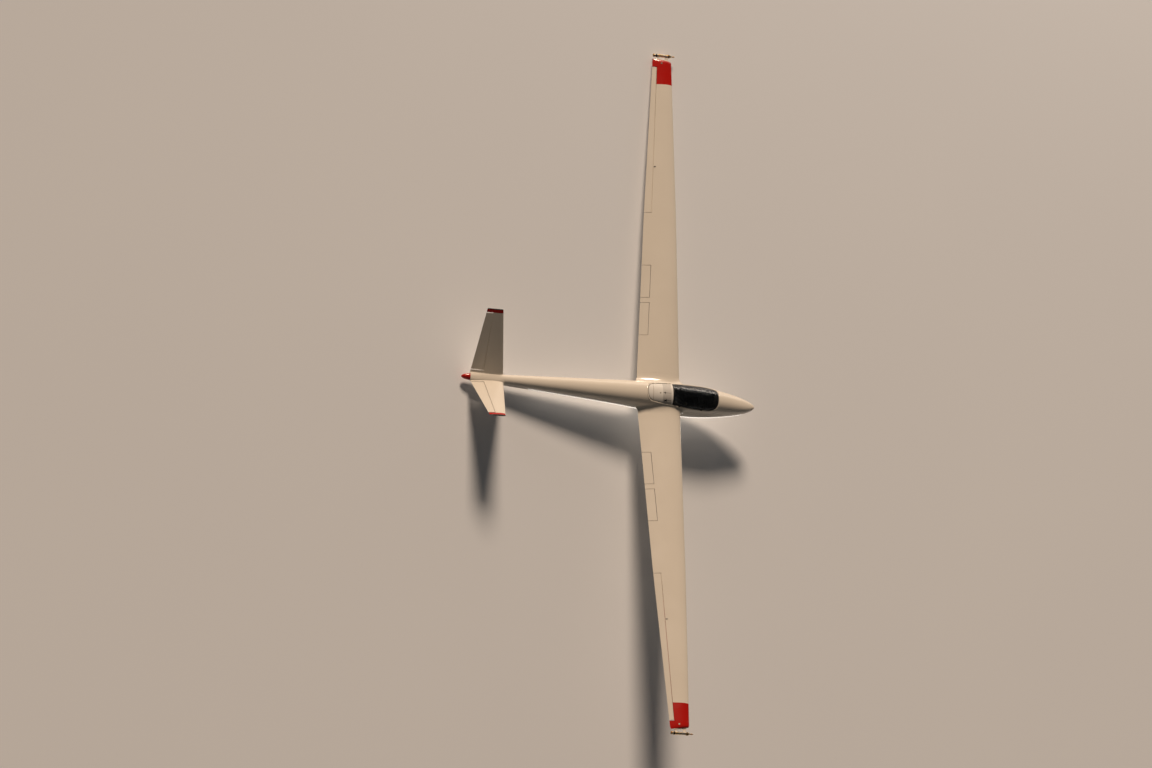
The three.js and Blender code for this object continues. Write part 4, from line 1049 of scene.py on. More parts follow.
def plate_form(outline, low, high, edge=0.0, steps=2):
    """A flat plate with an outline in the side view, given as x and z, between two widths."""
    bm = bmesh.new()
    ring = [bm.verts.new((x, low, z)) for x, z in outline]
    pushed = bmesh.ops.extrude_face_region(bm, geom=[bm.faces.new(ring)])["geom"]
    far = [part for part in pushed if isinstance(part, bmesh.types.BMVert)]
    bmesh.ops.translate(bm, vec=(0, high - low, 0), verts=far)
    close_ends(bm)
    return soften(bm, edge, steps, 20) if edge else bm


FORK_TOP = WELL_TOP - WELL_WALL - 0.0005
leg_outline = [(-0.018, -0.024), (0.018, -0.024), (0.026, -0.014), (0.030, 0.030)]
leg_outline += [(0.069, FORK_TOP - WHEEL.z), (-0.069, FORK_TOP - WHEEL.z)]
leg_outline += [(-0.030, 0.030), (-0.026, -0.014)]
leg_outline = [(WHEEL.x + x, WHEEL.z + z) for x, z in leg_outline]
fork = []
for out in (1, -1):
    fork.append(plate_form(leg_outline, *sorted(out * y for y in LEG_Y), 0.0018))
    rib = [(WHEEL.x - 0.004, WHEEL.z + 0.030), (WHEEL.x + 0.004, WHEEL.z + 0.030)]
    rib += [(WHEEL.x + 0.006, FORK_TOP), (WHEEL.x - 0.006, FORK_TOP)]
    fork.append(plate_form(rib, *sorted((out * LEG_Y[1], out * (LEG_Y[1] + 0.006))), 0.001))
yoke = (WHEEL.x - 0.060, -LEG_Y[1], FORK_TOP - 0.008), (WHEEL.x + 0.060, LEG_Y[1], FORK_TOP)
fork.append(block_form(*yoke, 0.0015))
put(merged(*fork), "fork_legs", [cabin_paint], stands_for="wheel_fork")

BRAKE = [(0.0477, 0.0125), (0.0477, 0.046), (0.0487, 0.0495), (0.0500, 0.050), (0.0560, 0.050)]
BRAKE += [(0.0573, 0.0490), (0.0577, 0.046), (0.0577, 0.0125), (0.0477, 0.0125)]
brake = [turned_form(BRAKE, (WHEEL.x, 0, WHEEL.z), (0, 1, 0), 64)]
caliper = (WHEEL.x - 0.084, 0.0490, WHEEL.z - 0.004), (WHEEL.x - 0.040, 0.0577, WHEEL.z + 0.032)
brake.append(block_form(*caliper, 0.003, 3))
for x, z in ((-0.074, 0.004), (-0.074, 0.024)):
    screw = Vector((WHEEL.x + x, 0.0577, WHEEL.z + z))
    brake.append(rod_form(screw, screw + Vector((0, 0.003, 0)), 0.0035, 6, 0.0004))
put(merged(*brake), "brake_plate", [plated_steel], stands_for="wheel_brake")

# The tow hook: a steel plate bolted under the cockpit with a curved hook on it.
HOOK_X = 0.190
hook_z = hull_at(HOOK_X)[2]


def quad_line(a, b, c, count=8):
    """Points of a quadratic curve, without the first."""
    return [tuple(on_curve((Vector(a), Vector(b), Vector(c)), t)) for t in spread(0, 1, count)[1:]]


hook_line = [(0.022, -0.008), (0.020, -0.034)]
hook_line += quad_line((0.020, -0.034), (0.006, -0.052), (-0.024, -0.044))
hook_line += [(-0.022, -0.034)] + quad_line((-0.022, -0.034), (0.002, -0.040), (0.004, -0.028))
hook_line += [(0.000, -0.008)]
hook_line = [(HOOK_X + x, hook_z + z) for x, z in hook_line]
hook_plate = (HOOK_X - 0.040, -0.016, hook_z - 0.014), (HOOK_X + 0.040, 0.016, hook_z + 0.002)
hook = [block_form(*hook_plate, 0.003, 3), plate_form(hook_line, -0.006, 0.006, 0.0015)]
for x in (-0.028, 0.032):
    bolt = Vector((HOOK_X + x, 0, hook_z - 0.014))
    hook.append(rod_form(bolt, bolt - Vector((0, 0, 0.004)), 0.006, 6, 0.0006))
put(merged(*hook), "hook_and_plate", [plated_steel], stands_for="tow_hook")

# The tail skid: a moulded rubber block under the tail boom, with a steel sole screwed on.
SKID_X, SKID_BOTTOM = -3.790, -0.062
SKID_HALF = 0.022
skid_line = [(-0.090, 0.080), (-0.062, SKID_BOTTOM + 0.026), (0.070, SKID_BOTTOM + 0.026)]
skid_line += quad_line((0.070, SKID_BOTTOM + 0.026), (0.140, 0.000), (0.190, 0.020))
skid_line += [(0.225, 0.050)]
skid_line = [(SKID_X + x, z) for x, z in skid_line]
skid = plate_form(skid_line, -SKID_HALF, SKID_HALF, 0.006, 4)
put(skid, "skid_block", [moulded_rubber], stands_for="tail_skid")
sole_rear, sole_front = (-0.064, SKID_BOTTOM + 0.0257), (0.072, SKID_BOTTOM + 0.0257)
sole_line = [sole_rear] + quad_line(sole_rear, (-0.060, SKID_BOTTOM), (-0.020, SKID_BOTTOM))
sole_line += [(0.030, SKID_BOTTOM)]
sole_line += quad_line((0.030, SKID_BOTTOM), (0.066, SKID_BOTTOM + 0.004), sole_front)
sole_line = [(SKID_X + x, z) for x, z in sole_line]
sole = plate_form(sole_line, -SKID_HALF + 0.002, SKID_HALF - 0.002, 0.0015)
put(sole, "skid_sole", [plated_steel], stands_for="tail_skid_sole")

# The wing's section: a five-term thickness round a camber line, 17 % thick, the same all along.
WING = ((0.0, 0.012, 0.860), (3.600, -0.022, 0.643), (6.785, -0.091, 0.371))
WING_THICKNESS = 0.17
WING_CAMBER = 0.035
CAMBER_PLACE = 0.4
DIHEDRAL = math.tan(math.radians(3.22))
WING_DROP = 0.050
RIB_Y = 0.440
TIP_CAP_Y = 6.650
TIP_Y = 6.770
TOP, UNDER = 1, -1


def wing_at(y):
    """Leading edge, chord and height of the wing at a distance from the middle."""
    start, end = (WING[0], WING[1]) if y < WING[1][0] else (WING[1], WING[2])
    t = (y - start[0]) / (end[0] - start[0])
    edge, chord = (start[n] + t * (end[n] - start[n]) for n in (1, 2))
    return edge, chord, y * DIHEDRAL - WING_DROP


def half_thickness(s, thickness):
    tail = -0.126 * s - 0.3516 * s**2 + 0.2843 * s**3 - 0.1015 * s**4
    return 5 * thickness * (0.2969 * math.sqrt(max(s, 0)) + tail)


def camber_line(s):
    p = CAMBER_PLACE
    if s < p:
        return WING_CAMBER / p**2 * (2 * p * s - s * s)
    return WING_CAMBER / (1 - p) ** 2 * (1 - 2 * p + 2 * p * s - s * s)


def wing_point(y, s, face, side=1):
    """A point of the wing's skin, at a share of the chord behind the leading edge."""
    edge, chord, height = wing_at(y)
    rise = camber_line(s) + face * half_thickness(s, WING_THICKNESS)
    return Vector((edge - s * chord, side * y, height + rise * chord))


def section_steps(front, rear, split=0.8):
    """Places round a section from the upper trailing edge over the nose and back: each is a
    share of the chord and a face. The share named split is always one of them."""
    shares = [split * (1 - math.cos(math.pi / 2 * k / front)) for k in range(front)]
    shares += spread(split, 1.0, rear)
    over = [(s, TOP) for s in reversed(shares)]
    return over + [(s, UNDER) for s in shares[1:]] + [over[0]]


# The wing root: a fairing that the shell's halves carry, drawn out of the hull's side in a
# hollow curve to a rib where the wing panel plugs on.
FILLET_SIDE, FILLET_FRONT, FILLET_REAR = 0.060, 0.150, 0.098
FILLET_UNDER_SILL = 0.006
ROOT_FAN = 10  # faces round the trailing edge


def root_line(rib, out, side):
    """One line of the fairing, from the rib to the hull, as curve points."""
    ends = FILLET_FRONT if out.x > 0 else FILLET_REAR
    reach = FILLET_SIDE + (ends - FILLET_SIDE) * out.x**2
    corner = Vector((rib.x, 0, rib.z - RIB_Y * DIHEDRAL * 0.4))
    corner.y = hull_side(corner.x, corner.z)
    landing = Vector((corner.x + out.x * reach, 0, corner.z + out.y * reach))
    landing.z = min(landing.z, sill_at(landing.x) - FILLET_UNDER_SILL)
    landing.y = hull_side(landing.x, landing.z)
    facing = hull_facing(landing.x, landing.z)
    inward = corner - rib
    bend = rib + inward * ((landing - rib).dot(facing) / inward.dot(facing))
    landing -= facing * 0.0006
    start = rib.lerp(bend, 0.25)
    return rib, (start, bend, landing)


def root_fairing(side):
    steps = section_steps(40, 16)[:-1]
    lines = []
    for k, (s, face) in enumerate(steps):
        near = [steps[max(k - 1, 0)], steps[min(k + 1, len(steps) - 1)]]
        before, after = (wing_point(RIB_Y, *step) for step in near)
        along = after - before
        out = Vector((-along.z, along.x)).normalized()
        lines.append((wing_point(RIB_Y, s, face), out))
    first, last = lines[0], lines[-1]
    begin = math.atan2(last[1].y, last[1].x) % (2 * math.pi)
    finish = math.atan2(first[1].y, first[1].x) % (2 * math.pi)
    for k in range(1, ROOT_FAN):
        t = k / ROOT_FAN
        angle = begin + (finish - begin) * t
        lines.append((last[0].lerp(first[0], t), Vector((math.cos(angle), math.sin(angle)))))
    lines.append(first)
    curves = [root_line(rib, out, side) for rib, out in lines]

    def place(k, v):
        rib, curve = curves[int(k)]
        point = rib.lerp(curve[0], v) if v < 1 else on_curve(curve, v - 1)
        return Vector((point.x, side * point.y, point.z))

    fairing = sheet(list(range(len(curves))), spread(0, 1, 4)[:-1] + spread(1, 2, 16), place)
    outward(fairing)
    return fairing


for name, side in SIDES:
    put(root_fairing(side), f"wing_root_{name}", [white_gelcoat])

# The wing panels: moulded shells, one a side, with the trailing edge cut away for the aileron
# and two airbrakes. Each bay's front wall is a hollow that its surface turns in.
AILERON_SHARE = 0.2
AILERON_Y = (3.665, 6.640)
BRAKE_DEPTH = 0.170
BRAKES_Y = ((1.190, 1.850), (1.945, 2.605))
MOVING_GAP = 0.006
PAINT_Y = 6.285  # where the red tip paint starts
BRAKE_BOW, AILERON_BOW = 0.004, 0.022  # how hollow the bays' front walls are


def bay_share(y):
    """Where the trailing edge's cut lies, as a share of the chord."""
    chord = wing_at(y)[1]
    brake = 1 - (BRAKE_DEPTH + MOVING_GAP) / chord
    radius = half_thickness(1 - AILERON_SHARE, WING_THICKNESS) * chord
    aileron = 1 - AILERON_SHARE - (0.34 * radius + 0.009) / chord
    start, end = BRAKES_Y[1][1], AILERON_Y[0]
    t = min(max((y - start) / (end - start), 0), 1)
    return brake + (aileron - brake) * t * t * (3 - 2 * t)


BAYS = (*BRAKES_Y, (AILERON_Y[0], TIP_CAP_Y))


def in_bay(y):
    return next((bay for bay in BAYS if bay[0] < y < bay[1]), None)


def wing_rows():
    """Stations along the wing, with one at each end of every bay."""
    marks = [RIB_Y + 0.0006, *BRAKES_Y[0], *BRAKES_Y[1], AILERON_Y[0], PAINT_Y, TIP_CAP_Y]
    rows = []
    for start, end in zip(marks, marks[1:]):
        rows += spread(start, end, max(2, round((end - start) / 0.09)))[:-1]
    return rows + [TIP_CAP_Y]


def cut_steps(front, rear):
    """Steps round a section that is cut across: each is a part, a share of it and a face."""
    shares = [("front", k / front) for k in range(front)]
    shares += [("rear", k / rear) for k in range(rear + 1)]
    around = [(part, t, TOP) for part, t in reversed(shares)]
    return around + [(part, t, UNDER) for part, t in shares[1:]] + [around[0]]


def cut_place(cut, part, t):
    """Such a step as a share of the chord."""
    return cut * (1 - math.cos(math.pi / 2 * t)) if part == "front" else cut + (1 - cut) * t


def wing_panel(side):
    def place(step, y):
        return wing_point(y, cut_place(bay_share(y), *step[:2]), step[2], side)

    panel = sheet(cut_steps(40, 12), wing_rows(), place)
    spare = []
    for face in panel.faces:
        middle = face.calc_center_median()
        y = abs(middle.y)
        edge, chord, _ = wing_at(y)
        if in_bay(y) and middle.x < edge - bay_share(y) * chord:
            spare.append(face)
        elif y > PAINT_Y:
            face.material_index = 1
    bmesh.ops.delete(panel, geom=spare, context="FACES")
    return panel


def bay_wall(skin, cut, rows, bow, columns=10):
    """The hollow front wall of a bay, between the upper and lower skins."""

    def place(t, y):
        point = skin(y, cut(y), TOP).lerp(skin(y, cut(y), UNDER), t)
        point.x += bow * math.sin(math.pi * t)
        return point

    return sheet(spread(0, 1, columns), rows, place)


def bay_rib(skin, cut, y, columns=12):
    """The flat end of a bay."""

    def place(t, s):
        return skin(y, s, TOP).lerp(skin(y, s, UNDER), t)

    return sheet(spread(0, 1, 3), spread(cut(y), 1.0, columns), place)


def shell_of(parts):
    """Skins and walls joined to a closed shell."""
    shell = merged(*parts)
    bmesh.ops.remove_doubles(shell, verts=shell.verts, dist=1e-4)
    close_ends(shell)
    return shell


red_gelcoat = gelcoat("red_gelcoat", "B0130A", "BE190E")

for name, side in SIDES:
    def skin(y, s, face):
        return wing_point(y, s, face, side)

    parts = [wing_panel(side)]
    for low, high in BAYS:
        rows = spread(low, high, max(2, round((high - low) / 0.09)))
        bow = BRAKE_BOW if low < AILERON_Y[0] else AILERON_BOW
        parts.append(bay_wall(skin, bay_share, rows, bow))
        parts += [bay_rib(skin, bay_share, y) for y in (low, high) if y < TIP_CAP_Y]
    put(
        shell_of(parts), f"wing_panel_{name}", [white_gelcoat, red_gelcoat], stands_for=f"wing_{name}",
    )

# The wing tips: short red caps bonded on the ends, rounded off in all directions.
TIP_ROUND = 0.065
TIP_RAKE = 0.044  # the trailing corner lies this far outboard of the leading edge


def tip_point(side, y, step):
    s, face = step
    q = max(0.0, (y - (TIP_Y - TIP_ROUND)) / TIP_ROUND)
    thick = math.sqrt(max(1 - q**3, 0))
    long = 1 - 0.10 * q**3
    point = wing_point(y, s, face, side)
    nose, tail = wing_point(y, 0, TOP, side), wing_point(y, 1, TOP, side)
    middle = (nose + tail) / 2
    line = nose.lerp(tail, s).z + camber_line(s) * wing_at(y)[1]
    point.x = middle.x + (point.x - middle.x) * long
    point.z = line + (point.z - line) * thick
    reach = max(0.0, (y - TIP_CAP_Y) / (TIP_Y - TIP_CAP_Y))
    point.y += side * reach * TIP_RAKE * s
    return point


for name, side in SIDES:
    rows = spread(TIP_CAP_Y + 0.0006, TIP_Y - TIP_ROUND, 4)
    rows += [TIP_Y - TIP_ROUND + TIP_ROUND * math.sin(math.pi / 2 * k / 14) for k in range(1, 15)]
    cap = sheet(section_steps(36, 12), rows, lambda step, y: tip_point(side, y, step))
    close_ends(cap)
    put(cap, f"wing_tip_cap_{name}", [red_gelcoat], stands_for=f"wing_tip_{name}")

# The smoke tubes: thin steel tubes closed by a nozzle in front and open behind, held by two
# clamps on a painted bracket at each wing tip.
SMOKE = Vector((-0.447, 6.888, 0.324))  # middle of the left tube's rear end
SMOKE_RADIUS = 0.030
SMOKE_WALL = 0.0015
CLAMPS = ((0.052, 0.074), (0.300, 0.322))
CLAMP_RADIUS, CLAMP_EDGE = 0.033, 0.0322


# Heat-tinted stainless steel: polished and almost white, with straw and brown in soft bands a
# few centimetres wide.
def tint_bands(tree, place):
    along = add_node(tree, "ShaderNodeMapping", {"Vector": place, "Scale": (1, 0.4, 0.4)})
    bands = {"Vector": along.outputs["Vector"], "Scale": 14.0, "Detail": 3.0}
    return add_node(tree, "ShaderNodeTexNoise", bands).outputs["Fac"]


def heat_tint(tree, place):
    tint = add_node(tree, "ShaderNodeValToRGB", {"Fac": tint_bands(tree, place)})
    stops = tint.color_ramp.elements
    for stop, colour in ((0.28, "8C5E38"), (0.38, "D89650"), (0.50, "F0D09A"), (0.62, "FAF2E2")):
        stops.new(stop).color = hex_colour(colour)
    stops.remove(stops[0])
    stops.remove(stops[-1])
    return tint.outputs["Color"]


tinted_steel = new_finish(
    "tinted_steel", None, heat_tint, (0.30, 0.16), rough_by=tint_bands, fixed=METAL
)

# Blackened steel: a dark oxide finish with a faint oily sheen, mottled in spots of 10 mm.
oxide = {"Metallic": 0.7}
black_oxide = new_finish("black_oxide", ("1A1815", "2C2823"), 0.01, 0.4, fixed=oxide)

BORE = SMOKE_RADIUS - SMOKE_WALL
TUBE = [(0.120, 0), (0.120, BORE), (0.0004, BORE), (0, BORE + 0.0004), (0, SMOKE_RADIUS - 0.0004)]
TUBE += [(0.0004, SMOKE_RADIUS)] + [(x, SMOKE_RADIUS) for x in spread(0.02, 0.334, 12)]
TUBE += quad_line((0.334, 0.030), (0.346, 0.030), (0.352, 0.0235), 6)
TUBE += quad_line((0.352, 0.0235), (0.358, 0.016), (0.370, 0.0145), 6)
TUBE += [(0.395, 0.0125), (0.3955, 0.0145), (0.408, 0.0145), (0.4085, 0.009), (0.424, 0.0085)]
TUBE += [(0.4245, 0.0055), (0.434, 0.005), (0.434, 0)]
for name, side in SIDES:
    foot = Vector((SMOKE.x, side * SMOKE.y, SMOKE.z))
    parts = [turned_form(TUBE, foot, (1, 0, 0), 56)]
    for low, high in CLAMPS:
        band = [(low, SMOKE_RADIUS - 0.0005), (low, CLAMP_EDGE), (low + 0.001, CLAMP_RADIUS)]
        band += [(high - 0.001, CLAMP_RADIUS), (high, CLAMP_EDGE), (high, SMOKE_RADIUS - 0.0005)]
        parts.append(turned_form(band + band[:1], foot, (1, 0, 0), 56))
        middle = foot + Vector(((low + high) / 2, 0, 0.0315))
        for start, end, radius, sides in (
            (-0.010, 0.010, 0.003, 12),
            (-0.013, -0.009, 0.0055, 6),
            (0.009, 0.013, 0.0055, 6),
        ):
            bolt = middle + Vector((0, start, 0)), middle + Vector((0, end, 0))
            parts.append(rod_form(*bolt, radius, sides))
        for part in parts[-4:]:
            coloured(part, 1)
    put(
        merged(*parts), f"smoke_tube_body_{name}", [tinted_steel, black_oxide],
        stands_for=f"smoke_tube_{name}", crease=40
    )

# The brackets: two arms on a base plate that is bonded to the tip, moulded in white glass fibre.
BRACKET_Z = (0.316, 0.342)
ARMS = ((-0.366, -0.330), (-0.214, -0.152))
BRACKET_X = (-0.400, -0.140)
BASE_THICK, BASE_REACH = 0.018, 6.814
ARM_FOOT, ARM_Z = 6.785, (0.3172, 0.3348)
CRADLE_RADIUS, CRADLE_THICK = 0.0308, 0.003


def tip_face(x):
    """How far out the tip cap's end lies at a station."""
    edge, chord, _ = wing_at(TIP_Y)
    return TIP_Y + TIP_RAKE * (edge - x) / chord


for name, side in SIDES:
    plate_line = [Vector((x, side * (tip_face(x) - 0.004), 0)) for x in spread(*BRACKET_X, 12)]

    def plate_point(corner, at):
        y = side * min(abs(at.y) + BASE_THICK, BASE_REACH) if corner[0] else at.y
        return Vector((at.x, y, BRACKET_Z[corner[1]]))

    plate = sheet([(0, 0), (0, 1), (1, 1), (1, 0), (0, 0)], plate_line, plate_point)
    close_ends(plate)
    parts = [soften(plate, 0.004, 3, 50)]
    for low, high in ARMS:
        arm = block_form((low, ARM_FOOT, ARM_Z[0]), (high, SMOKE.y, ARM_Z[1]), 0.003, 3)
        for corner in arm.verts:
            reach_z = max(SMOKE_RADIUS**2 - (corner.co.z - SMOKE.z) ** 2, 0)
            corner.co.y = min(corner.co.y, SMOKE.y - math.sqrt(reach_z) + 0.001)
            corner.co.y *= side
        parts.append(outward(arm))

        def cradle_point(a, x):
            y, z = CRADLE_RADIUS * math.cos(a), CRADLE_RADIUS * math.sin(a)
            return Vector((x, side * (SMOKE.y + y), SMOKE.z + z))

        angles = spread(0.62 * math.pi, 1.38 * math.pi, 16)
        cradle = outward(sheet(angles, (low, high), cradle_point))
        bmesh.ops.solidify(cradle, geom=cradle.faces[:], thickness=CRADLE_THICK)
        parts.append(outward(cradle))
    put(
        merged(*parts), f"smoke_bracket_arms_{name}", [white_gelcoat],
        stands_for=f"smoke_bracket_{name}"
    )

# The tip skids: moulded rubber shoes under the wing tips that the parked wing rests on.
SHOE = Vector((-0.270, 6.682, 0.206))
SHOE_HALF = 0.014
shoe_line = [(-0.065, 0.108)]
shoe_line += quad_line((-0.065, 0.108), (-0.065, 0.016), (-0.032, 0.002))
shoe_line += quad_line((-0.032, 0.002), (0.000, -0.002), (0.032, 0.002))
shoe_line += quad_line((0.032, 0.002), (0.065, 0.016), (0.065, 0.108))
shoe_line = [(SHOE.x + x, SHOE.z + z) for x, z in shoe_line]
for name, side in SIDES:
    ends = sorted((side * SHOE.y - SHOE_HALF, side * SHOE.y + SHOE_HALF))
    shoe = plate_form(shoe_line, *ends, 0.005, 4)
    put(shoe, f"tip_shoe_{name}", [moulded_rubber], stands_for=f"tip_skid_{name}")

# The ailerons and airbrakes: thin shells on hinges. An aileron's nose is round and turns under
# the wing's skin, and an airbrake turns about the middle of its own depth.
END_GAP = 0.009


def moving_point(side, y, step, depth, radius, flush):
    """A point of a moving surface. Its nose is a part of a circle round the hinge line."""
    kind, t, face = step
    edge, chord, height = wing_at(y)
    hinge_share = 1 - depth / chord
    centre = Vector((edge - hinge_share * chord, side * y, 0))
    centre.z = height + camber_line(hinge_share) * chord
    if kind == "skin":
        s = hinge_share + flush / chord + (1 - hinge_share - flush / chord) * t
        return wing_point(y, s, face, side)
    shown = wing_point(y, hinge_share + flush / chord, face, side)
    lift = math.asin(min(1.0, (abs(shown.z - centre.z) - 0.0015) / radius))
    angle = lift * t
    return centre + Vector((radius * math.cos(angle), 0, face * radius * math.sin(angle)))


def moving_steps(nose_steps):
    """Steps round a moving surface: each is a part, a share of it and a face."""
    steps = [("skin", t, TOP) for t in spread(1, 0, 12)]
    steps += [("nose", t, TOP) for t in spread(1, 0, nose_steps)]
    steps += [("nose", t, UNDER) for t in spread(0, 1, nose_steps)[1:]]
    return steps + [("skin", t, UNDER) for t in spread(0, 1, 12)] + [("skin", 1, TOP)]


def moving_surface(side, low, high, depth_at, radius_at, flush, nose_steps=10):
    """A moving surface. Flush is how far behind the hinge line its skin starts."""

    def place(step, y):
        return moving_point(side, y, step, depth_at(y), radius_at(y), flush)

    rows = spread(low + END_GAP, high - END_GAP, max(2, round((high - low) / 0.12)))
    made = sheet(moving_steps(nose_steps), rows, place)
    close_ends(made)
    return made


def aileron_depth(y):
    return AILERON_SHARE * wing_at(y)[1]


def aileron_radius(y):
    return half_thickness(1 - AILERON_SHARE, WING_THICKNESS) * wing_at(y)[1] - 0.002


for name, side in SIDES:
    aileron = moving_surface(
        side, AILERON_Y[0], AILERON_Y[1] + 0.004, aileron_depth, aileron_radius, flush=0.002
    )
    put(
        aileron, f"aileron_skin_{name}", [white_gelcoat], body=f"aileron_{name}",
        stands_for=f"aileron_{name}", crease=30
    )
    for place_name, (low, high) in zip(("inner", "outer"), BRAKES_Y):
        half = BRAKE_DEPTH / 2
        brake = moving_surface(
            side, low, high, lambda y: half, lambda y: half, flush=0.004 - half, nose_steps=3
        )
        put(
            brake, f"airbrake_skin_{name}_{place_name}", [white_gelcoat],
            body=f"airbrake_{name}_{place_name}", stands_for=f"airbrake_{name}_{place_name}",
            crease=30
        )

# A small black teardrop stands on each wing just ahead of the aileron, and a plug in each tip cap
# covers its fixing screw.
TEARDROP_Y = 4.600
TEARDROP = (0.044, 0.020, 0.010)  # length, width, height
TIP_PLUG = Vector((-0.292, 6.718, 0))


def on_wing(x, y, side):
    """A point of the wing's upper face and its outward direction."""
    edge, chord, _ = wing_at(y)
    s = (edge - x) / chord
    here = wing_point(y, s, TOP, side)
    ahead = wing_point(y, s - 0.005, TOP, side) - wing_point(y, s + 0.005, TOP, side)
    beside = wing_point(y + 0.01, s, TOP, side) - wing_point(y - 0.01, s, TOP, side)
    return here, (ahead.cross(beside) * side).normalized(), ahead.normalized()


def set_on_wing(bm, x, y, side):
    """Sets a form made flat at the origin on the wing's upper face."""
    foot, out, ahead = on_wing(x, y, side)
    rows = Matrix((ahead, out.cross(ahead), out)).transposed().to_4x4()
    return moved(bm, Matrix.Translation(foot) @ rows)


for name, side in SIDES:
    teardrop = bmesh.new()
    bmesh.ops.create_uvsphere(teardrop, u_segments=32, v_segments=16, radius=0.5)
    for corner in teardrop.verts:
        share = corner.co.x + 0.5
        corner.co.y *= 0.45 + 0.55 * math.sin(math.pi * min(share * 0.8 + 0.2, 1))
        corner.co = Vector((corner.co.x * TEARDROP[0], corner.co.y * TEARDROP[1], corner.co.z * 2 * TEARDROP[2]))
    cut_off(teardrop, (0, 0, -0.003), (0, 0, -1))
    close_ends(teardrop)
    edge, chord, _ = wing_at(TEARDROP_Y)
    place_x = edge - bay_share(TEARDROP_Y) * chord + TEARDROP[0] / 2 + 0.004
    set_on_wing(teardrop, place_x, TEARDROP_Y, side)
    put(teardrop, f"aileron_teardrop_{name}", [moulded_rubber])
    plug = [(-0.004, 0), (-0.004, 0.017), (0.0015, 0.017), (0.0028, 0.0155), (0.0028, 0)]
    plug = set_on_wing(turned_form(plug, (0, 0, 0), (0, 0, 1), 32), TIP_PLUG.x, TIP_PLUG.y, side)
    put(plug, f"tip_plug_{name}", [plated_steel])

# The V-tail: two fixed fins on a saddle, each with a hinged surface behind it and a thin red
# cap on its end.
TAIL_ROOT = Vector((-3.520, 0.080, 0.160))
TAIL_TIP = Vector((-3.718, 1.066, 0.964))
TAIL_CHORDS = (0.652, 0.311)
TAIL_THICKNESS = 0.10
TAIL_RIB = 0.035
TAIL_TIP_CAP = 0.95
TAIL_END = 1.010
TAIL_ROUND = 0.996  # where the cap starts to round off, with a rubber strip on its end
RUDDERVATOR_SHARE = 0.37
RUDDERVATOR_SPAN = (0.05, 0.945)
tail_span = TAIL_TIP - TAIL_ROOT
tail_length = Vector((0, tail_span.y, tail_span.z)).length
tail_up = Vector((0, -tail_span.z, tail_span.y)).normalized()


def tail_chord(share):
    return TAIL_CHORDS[0] + (TAIL_CHORDS[1] - TAIL_CHORDS[0]) * share


def tail_point(share, s, face, side, thick=1.0):
    """A point of a tail panel's skin, at a share of the span and of the chord."""
    edge = TAIL_ROOT + tail_span * share
    chord = tail_chord(share)
    lift = face * half_thickness(s, TAIL_THICKNESS) * chord * thick
    point = edge + Vector((-s * chord, 0, 0)) + tail_up * lift
    return Vector((point.x, side * point.y, point.z))


def tail_cut(share):
    """Where the fixed fin ends, as a share of the chord."""
    radius = half_thickness(1 - RUDDERVATOR_SHARE, TAIL_THICKNESS) * tail_chord(share)
    return 1 - RUDDERVATOR_SHARE - (0.42 * radius + 0.008) / tail_chord(share)


def tail_fin(side):
    low = RUDDERVATOR_SPAN[0] - 0.005

    def place(step, share):
        return tail_point(share, cut_place(tail_cut(share), *step[:2]), step[2], side)

    rows = spread(TAIL_RIB + 0.0004, low, 1) + spread(low, TAIL_TIP_CAP, 14)[1:]
    fin = sheet(cut_steps(32, 8), rows, place)
    spare = []
    for face in fin.faces:
        middle = face.calc_center_median()
        share = (abs(middle.y) - TAIL_ROOT.y) / tail_span.y
        share = (middle.z - TAIL_ROOT.z) / tail_span.z / 2 + share / 2
        edge = TAIL_ROOT.x + tail_span.x * share
        if share > low and middle.x < edge - tail_cut(share) * tail_chord(share):
            spare.append(face)
    bmesh.ops.delete(fin, geom=spare, context="FACES")

    def skin(share, s, face):
        return tail_point(share, s, face, side)

    wall = bay_wall(skin, tail_cut, spread(low, TAIL_TIP_CAP, 14), 0.012, 8)
    return shell_of([fin, wall, bay_rib(skin, tail_cut, low, 8)])


def ruddervator(side):
    gap = END_GAP / tail_length
    rows = spread(RUDDERVATOR_SPAN[0] + gap, RUDDERVATOR_SPAN[1] - gap, 14)
    flush = 0.002

    def place(step, share):
        kind, t, face = step
        chord = tail_chord(share)
        hinge = 1 - RUDDERVATOR_SHARE
        if kind == "skin":
            s = hinge + flush / chord + (1 - hinge - flush / chord) * t
            return tail_point(share, s, face, side)
        radius = half_thickness(hinge, TAIL_THICKNESS) * chord - 0.0015
        centre = (tail_point(share, hinge, TOP, side) + tail_point(share, hinge, UNDER, side)) / 2
        angle = math.pi / 2 * t
        across = Vector((0, side * tail_up.y, tail_up.z)) * (face * radius * math.sin(angle))
        return centre + Vector((radius * math.cos(angle), 0, 0)) + across

    made = sheet(moving_steps(8), rows, place)
    close_ends(made)
    return made


def tail_cap(side):
    def place(step, share):
        q = max(0.0, (share - TAIL_ROUND) / (TAIL_END - TAIL_ROUND))
        s = 0.5 + (step[0] - 0.5) * (1 - 0.12 * q**3)
        return tail_point(share, s, step[1], side, math.sqrt(max(1 - q**2.5, 0)))

    rows = [TAIL_TIP_CAP + 0.0006, 0.965, 0.985, TAIL_ROUND]
    for k in range(1, 9):
        rows.append(TAIL_ROUND + (TAIL_END - TAIL_ROUND) * math.sin(math.pi / 2 * k / 8))
    cap = sheet(section_steps(28, 10), rows, place)
    close_ends(cap)
    span = Vector((0, tail_span.y, tail_span.z))
    for face in cap.faces:
        middle = face.calc_center_median()
        reach = Vector((0, abs(middle.y), middle.z)) - Vector((0, TAIL_ROOT.y, TAIL_ROOT.z))
        if reach.dot(span) / tail_length**2 > TAIL_ROUND + 0.0005:
            face.material_index = 1
    return cap


